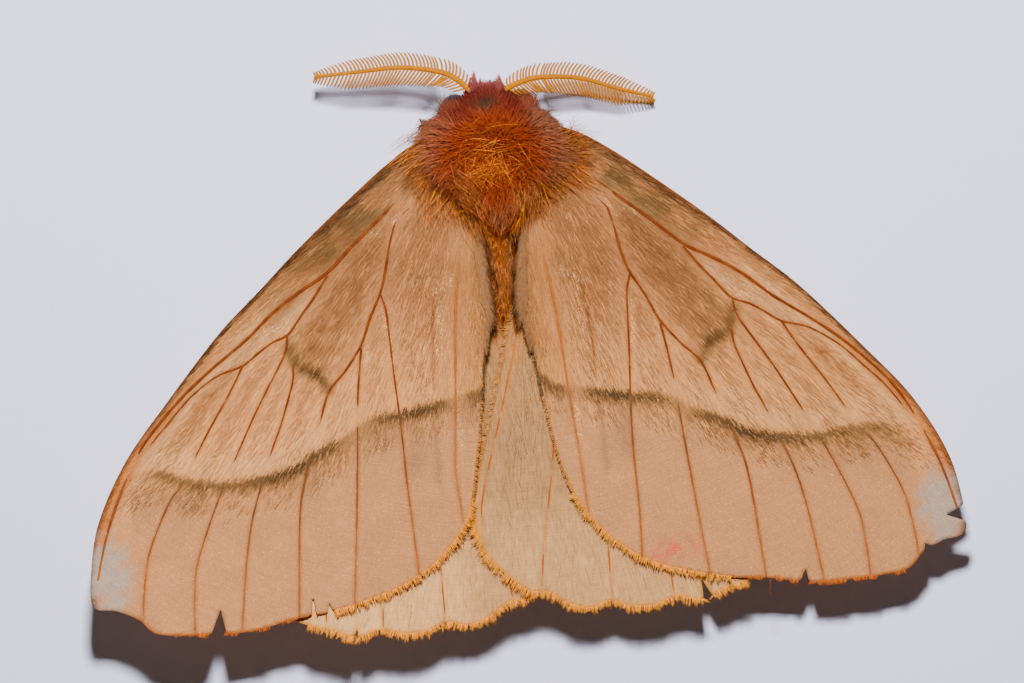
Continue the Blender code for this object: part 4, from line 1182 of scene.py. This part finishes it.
def over_thorax(plan, above):
    """Adds the height of the thorax, and some more, to places in plan."""
    (_, _, middle), (wide, long, high), _ = THORAX
    dome = np.clip(1 - (plan[:, 0] / wide) ** 2 - (plan[:, 1] / long) ** 2, 0.02, None)
    return np.column_stack([plan, middle + high * np.sqrt(dome) + above])


count = TANGLE_HAIRS
spots = DRAW.normal((-0.9, -0.2), (1.5, 1.2), (count, 2))
turn = DRAW.uniform(0, 2 * np.pi, count)
run = np.column_stack([np.cos(turn), 0.6 * np.sin(turn) - 0.2]) * DRAW.uniform(1.5, 3.1, (count, 1))
laid_hairs("gold_tangle", over_thorax(spots, 0.9), over_thorax(spots + run, 0.9), FUR_GOLD, 0.019,
           "coat_orange", 0.1, 0.1, 0.35)

for side in SIDES:
    for name, count, colour, spread, reach, radius in SHOULDER_HAIRS:
        guides = np.array(SHOULDER_FANS[side])[DRAW.integers(0, len(SHOULDER_FANS[side]), count)]
        guides = guides + DRAW.normal(size=(count, 1, 2)) * spread + DRAW.normal(size=(count, 2, 2)) * 0.25
        tips = guides[:, 0] + (guides[:, 1] - guides[:, 0]) * DRAW.uniform(*reach, (count, 1))
        laid_hairs(f"{name}_shoulder_{side}", over_thorax(guides[:, 0], 0.6), over_thorax(tips, 1.7),
                   colour, radius, "coat_orange", 0.1, 0.1, 0.3)
    count = BROW_HAIRS[side]
    across = DRAW.uniform(1.7, 3.2, count) * SIDES[side] - 0.3
    brow = np.column_stack([across, DRAW.uniform(2.9, 3.9, count), np.full(count, 6.6)])
    far = brow + DRAW.uniform(0.9, 1.6, (count, 1)) * (0.35 * SIDES[side], 1.0, 0.0)
    far[:, :2] += DRAW.normal(size=(count, 2)) * 0.2
    far[:, 2] = 5.7
    laid_hairs(f"brow_{side}", brow, far, BROW_BROWN, 0.022, "coat_red", 0.08, 0.12, 0.3)
    count = TUFT_HAIRS
    base, tip = (np.array((*spot, z)) for spot, z in zip(TUFTS[side], (5.9, 6.5)))
    laid_hairs(f"head_tuft_{side}", base + DRAW.normal(size=(count, 3)) * (0.22, 0.15, 0.12),
               tip + DRAW.normal(size=(count, 3)) * (0.07, 0.16, 0.07), HEAD_PINK, 0.022, "coat_red",
               0.04, 0.03)

count = STRIP_HAIRS
y = DRAW.uniform(-10.4, -3.4, count)
across = np.clip(DRAW.normal(0.0, 0.85, count), -2.0, 2.0)
low = np.interp(-y, STRIP_AT, (-1.35, -0.87, -0.85, -0.56, -0.47))
high = np.interp(-y, STRIP_AT, (0.57, 0.09, 0.11, 0.16, 0.12))
x = (low + high) / 2 + across * (high - low + 0.12) / 2 * np.interp(-y, (5.0, 9.0), (1.0, 0.6))
height = np.interp(-y, (3.4, 5.0, 6.5, 11.0), (8.4, 6.7, 5.6, 5.1))
roots = np.column_stack([x * 0.8, y + 1.0, height])
back = DRAW.uniform(0.4, 1.4, count)
height = np.interp(-y, (3.6, 6.0, 11.0), (8.6, 7.3, 6.0))
tips = np.column_stack([x + DRAW.normal(size=count) * 0.12, y - back, height])
beside = np.abs(across) > np.interp(-y, (4.0, 7.0), (0.9, 0.45))
laid_hairs("back_strip", roots[~beside], tips[~beside], ABDOMEN_BROWN, 0.03, "coat_orange", 0.06, 0.12, 0.3)
laid_hairs("strip_edges", roots[beside], tips[beside], FUR_BROWN, 0.024, "coat_orange", 0.06, 0.12, 0.3)

tips = np.array([(*tip, 7.4) for tip in STRAY_TIPS])
roots = np.array((5.3, 1.6, 7.0)) + DRAW.normal(size=tips.shape) * 0.2
laid_hairs("stray_hairs", roots, tips, FUR_ORANGE, 0.028, "coat_orange", 0.2, 0.1, 0.4)


# Antennae
# Each is a horny shaft with a pair of rays at every joint, in one comb that the moth holds out flat.
# Shaft and rays are tapering tubes. Both droop to their tips, the right one nearly to the floor.
SHAFTS = {
    "left": ((-1.45, 5.5, 5.9), (-2.5, 6.55, 5.75), (-3.7, 7.15, 5.55), (-6.4, 7.7, 5.0), (-9.3, 7.68, 4.4),
             (-12.8, 7.6, 3.6)),
    "right": ((0.95, 5.4, 5.9), (2.2, 5.9, 5.25), (3.7, 6.17, 4.55), (6.5, 5.93, 3.35), (9.4, 4.95, 2.3),
              (11.9, 4.2, 1.4)),
}
RAY_PAIRS = 44
RAY_RINGS = 7
SHAFT_YELLOW = (0.4, 0.125, 0.0)
RAY_YELLOW = (0.42, 0.138, 0.0)
antenna_finish = tint_material("antenna_horn", 0.8, 0.0)


def comb_rays(line, share, run):
    spines, radii = [], []
    t = np.linspace(0.0, 1.0, RAY_RINGS)[:, None]
    for k in range(RAY_PAIRS):
        at = 0.03 + 0.96 * (k + 0.5) / RAY_PAIRS
        centre = np.array([np.interp(at, share, line[:, axis]) for axis in range(3)])
        along = unit(np.array([np.interp(at, share, run[:, axis]) for axis in range(3)]))
        across = unit(np.cross(along, (0.0, 0.0, 1.0)))
        swell = np.interp(at, (0.0, 0.12, 0.4, 0.75, 1.0), (0.55, 0.85, 1.0, 0.85, 0.25))
        for turn in (-1.0, 1.0):
            front = across[1] * turn > 0
            first = unit(across * turn * (1.0 if front else 0.8) + along * (0.1 if front else 0.4))
            last = across * turn * 0.7 + along * (0.8 if front else 0.55)
            last = unit(last + (0.0, 0.0, 0.0 if front else -0.3))
            path = first * t + (last - first) * t * t / 2
            spines.append(centre + path * swell * (1.4 if front else 1.8))
            radii.append((0.095 if front else 0.09) * (1 - 0.3 * t[:, 0] ** 2))
    return np.array(spines), np.array(radii)


for side, controls in SHAFTS.items():
    line = smooth_line(controls, 0.15)
    share = np.linspace(0.0, 1.0, len(line))
    points, triangles, _ = tubes(line[None], (0.22 - 0.1 * share)[None], 8)
    spines, radii = comb_rays(line, share, np.gradient(line, axis=0))
    ray_points, ray_triangles, _ = tubes(spines, radii, 5)
    all_points, all_triangles = joined([(points, triangles), (ray_points, ray_triangles)])
    comb = mesh_object(f"antenna_{side}_comb", all_points, all_triangles)
    tints = np.tile(SHAFT_YELLOW, (len(points), 1)), np.tile(RAY_YELLOW, (len(ray_points), 1))
    paint(comb, np.vstack(tints))
    fit(comb, antenna_finish, "comb_yellow", f"antenna_{side}")


# Eyes
# Faceted domes, dark and glossy, half sunk in the fur at the sides of the head. Each is a ball whose
# facets are drawn by the material.
EYE_GREY = (0.02, 0.012, 0.008)
EYE_DARK = (0.006, 0.004, 0.003)
EYE_OUT, EYE_HEIGHT, EYE_RADIUS = 2.4, 4.1, 1.0


def eye_material():
    made, tree, shader = new_material("eye_lens", 0.3, 0.12)
    where = put(tree, "TexCoord").outputs["Object"]
    facets = put(tree, "TexVoronoi", {"Vector": where, "Scale": 14000.0}).outputs["Distance"]
    tree.links.new(mixed(tree, facets, EYE_GREY, EYE_DARK), shader.inputs["Base Color"])
    bump = put(tree, "Bump", {"Height": facets, "Distance": 0.00003}, invert=True)
    tree.links.new(bump.outputs["Normal"], shader.inputs["Normal"])
    return made


eye_finish = eye_material()
for side in SIDES:
    centre = (HEAD[0][0] + SIDES[side] * EYE_OUT, HEAD[0][1], EYE_HEIGHT)
    dome = ovoid(centre, (EYE_RADIUS,) * 3, 0.0)
    dome.name = f"eye_{side}_lens"
    dome.data.shade_smooth()
    fit(dome, eye_finish, "eye_dark", f"eye_{side}")


# Legs
# Six walking legs, folded under the wings: a thick furry thigh, a shank with two spurs, a foot of
# five joints and a pair of dark claws. Tubes for the shell, and closed strands for the leg fur.
LEGS = {
    "fore": ((1.4, 2.6, 3.0), (3.3, 3.3, 2.7), (3.9, 3.5, 0.75)),
    "mid": ((2.0, 0.4, 3.0), (5.2, 0.8, 3.9), (6.4, 0.0, 0.75)),
    "hind": ((1.9, -2.4, 3.0), (5.4, -4.2, 3.7), (6.2, -8.0, 0.75)),
}
TOES = {
    "fore": {"left": (-5.2, 3.7, 0.3), "right": (5.0, 2.3, 0.3)},
    "mid": {"left": (-9.2, -1.6, 0.3), "right": (9.2, -1.6, 0.3)},
    "hind": {"left": (-7.4, -11.6, 0.3), "right": (7.4, -11.6, 0.3)},
}
LEG_FUR = ((0.45, 260), (0.33, 200), (0.15, 60))
LEG_BROWN = (0.1, 0.05, 0.026)
LEG_TAN = (0.22, 0.1, 0.05)
CLAW_DARK = (0.014, 0.008, 0.005)
shell_finish = tint_material("leg_shell", 0.5, 0.2)


def limb(start, end, thick, thin, rings=12, swell=0.25, joints=1):
    """A tube from start to end, swollen in the middle of each joint and closed at the tip."""
    t = np.linspace(0.0, 1.0, rings * joints)
    line = np.array(start) + (np.array(end) - np.array(start)) * t[:, None]
    wide = (thick + (thin - thick) * t) * (1 + swell * np.sin(np.pi * (t * joints % 1.0)) - swell / 2)
    wide *= np.sqrt(np.clip(1 - ((t - 0.5) * 2) ** 8, 0.05, 1))
    return tubes(line[None], wide[None], 10)[:2]


def make_leg(pair, side):
    sign = (SIDES[side], 1.0, 1.0)
    coxa, knee, ankle = (np.array(p) * sign for p in LEGS[pair])
    toe = np.array(TOES[pair][side])
    foot_way = unit(toe - ankle)
    foot = limb(ankle, toe, 0.2, 0.13, 8, 0.5, 5)
    parts = [limb(coxa, knee, 0.55, 0.42), limb(knee, ankle, 0.42, 0.3), foot]
    shell_count = sum(len(points) for points, _ in parts)
    for lean in (-0.35, 0.35):
        across = np.array((-foot_way[1], foot_way[0], 0.0)) * lean
        hook = np.array([toe - foot_way * 0.1, toe + foot_way * 0.15 + across * 0.5,
                         toe + foot_way * 0.28 + across,
                         toe + foot_way * 0.33 + across * 1.1 - (0, 0, 0.14)])
        curve = smooth_line(hook, 0.06)
        parts.append(tubes(curve[None], np.linspace(0.055, 0.02, len(curve))[None], 6)[:2])
    for lean in (-0.4, 0.4):
        shank = unit(ankle - knee)
        spur = np.array([ankle - shank * 0.3, ankle + shank * 0.1 + np.array((lean, -0.3, 0.1))])
        parts.append(limb(spur[0], spur[1], 0.08, 0.03, 6))
    points, triangles = joined(parts)
    points[:, 2] = np.maximum(points[:, 2], 0.0)
    obj = mesh_object(f"leg_{pair}_{side}_shell", points, triangles)
    colours = np.tile(LEG_BROWN, (len(points), 1))
    colours[shell_count:] = CLAW_DARK
    paint(obj, colours)
    fit(obj, shell_finish, "leg_brown", f"leg_{pair}_{side}")
    spots, starts, ends = [], [], []
    for first, last, (thick, many) in zip((coxa, knee, ankle), (knee, ankle, toe), LEG_FUR):
        way = unit(last - first)
        side_way = unit(np.cross(way, (0.0, 0.0, 1.0)))
        up = np.cross(side_way, way)
        turn = DRAW.uniform(0, 2 * np.pi, many)[:, None]
        out = side_way * np.cos(turn) + up * np.sin(turn)
        spots.append(first + (last - first) * DRAW.uniform(0, 0.95, many)[:, None] + out * thick * 0.8)
        starts.append(unit(out * 0.6 + way))
        ends.append(unit(out * 0.15 + way))
    spots, starts, ends = (np.vstack(some) for some in (spots, starts, ends))
    spines = strand_spines(spots, starts, ends, DRAW.uniform(0.4, 0.9, len(spots)))
    spines = keep_clear(spines, np.full((len(spots), 1), False))
    tint = varied(blend(np.tile(LEG_TAN, (len(spots), 1)), FUR_ROSE, 0.5), 0.25)
    unwrap = (spots[:, :2] + (12.0, 14.0)) / (26.0, 22.0) * 0.99
    hairs(f"leg_{pair}_{side}_fur", spines, 0.03, tint, "leg_brown", unwrap, fur_finish)


for pair in LEGS:
    for side in SIDES:
        make_leg(pair, side)


# Palps
# Two short furry feelers that stand side by side under the front of the head. Each is a tube with
# closed strands of fur on it.
for side in SIDES:
    base = np.array((HEAD[0][0] + SIDES[side] * 0.65, 5.2, 3.4))
    tip = np.array((HEAD[0][0] + SIDES[side] * 0.5, 6.0, 3.9))
    points, triangles = limb(base, tip, 0.36, 0.26)
    obj = mesh_object(f"palp_{side}", points, triangles)
    paint(obj, np.array(HEAD_RED) * 0.6)
    fit(obj, shell_finish, "coat_red")
    count = 200
    out = unit(DRAW.normal(size=(count, 3)))
    spots = base + (tip - base) * DRAW.uniform(0, 1, (count, 1)) + out * 0.25
    start, end = unit(out + tip - base), unit(out * 0.3 + tip - base)
    spines = strand_spines(spots, start, end, DRAW.uniform(0.25, 0.5, count))
    hairs(f"palp_{side}_fur", spines, 0.026, varied(HEAD_RED, 0.25, count), "coat_red", body_unwrap(spots),
          fur_finish)


# Torn wisp
# A wisp of torn wing that hangs from the right forewing's margin, a thin tube in the colour of the
# veins.
line = smooth_line(((17.1, -31.0, 6.4), (17.25, -31.9, 6.35), (17.1, -32.4, 6.2), (17.4, -33.0, 6.0)), 0.1)
points, triangles, _ = tubes(line[None], np.linspace(0.05, 0.03, len(line))[None], 6)
wisp = mesh_object("torn_wisp", points, triangles)
paint(wisp, UMBER)
fit(wisp, vein_finish, "wing_tan")


# Floor, light and camera
# A plain pale floor, a key light high in front of the head with a weak warm sky to fill it, and the
# camera straight above, turned a little as it was held.
FLOOR_PALE = (0.7, 0.705, 0.885)
FLOOR_SHADE = (0.68, 0.685, 0.865)
ROLL = math.radians(4.8)
VIEW_CENTRE = (0.01, -12.84)
VIEW_WIDTH = 74.2
VIEW_PLANE = 6.5
CAMERA_HEIGHT = 400.0
SENSOR = 36.0

deselect_all()
bpy.ops.mesh.primitive_plane_add(size=3.0)
floor = bpy.context.object
floor.name = "floor"
floor.data.materials.append(two_tone("floor_paper", 900.0, 4.0, 0.1, FLOOR_PALE, FLOOR_SHADE))

lens = bpy.data.cameras.new("camera")
lens.sensor_width = SENSOR
lens.lens = SENSOR * (CAMERA_HEIGHT - VIEW_PLANE) / VIEW_WIDTH
lens.clip_start, lens.clip_end = 0.01, 10.0
camera = bpy.data.objects.new("camera", lens)
camera.location = place((*VIEW_CENTRE, CAMERA_HEIGHT))
camera.rotation_euler = (0.0, 0.0, -ROLL)
bpy.context.scene.collection.objects.link(camera)
bpy.context.scene.camera = camera

lamp = bpy.data.lights.new("key", "AREA")
lamp.size = 24.0 * MM
lamp.energy = 1.63
key = bpy.data.objects.new("key", lamp)
key.location = place((3.0, 81.0, 234.0))
aim = Vector(place((0.0, -12.0, 0.0))) - key.location
key.rotation_euler = aim.to_track_quat("-Z", "Y").to_euler()
bpy.context.scene.collection.objects.link(key)
world = bpy.data.worlds.new("studio")
world.use_nodes = True
world.node_tree.nodes["Background"].inputs["Color"].default_value = (1.0, 0.86, 0.72, 1.0)
world.node_tree.nodes["Background"].inputs["Strength"].default_value = 0.08
bpy.context.scene.world = world
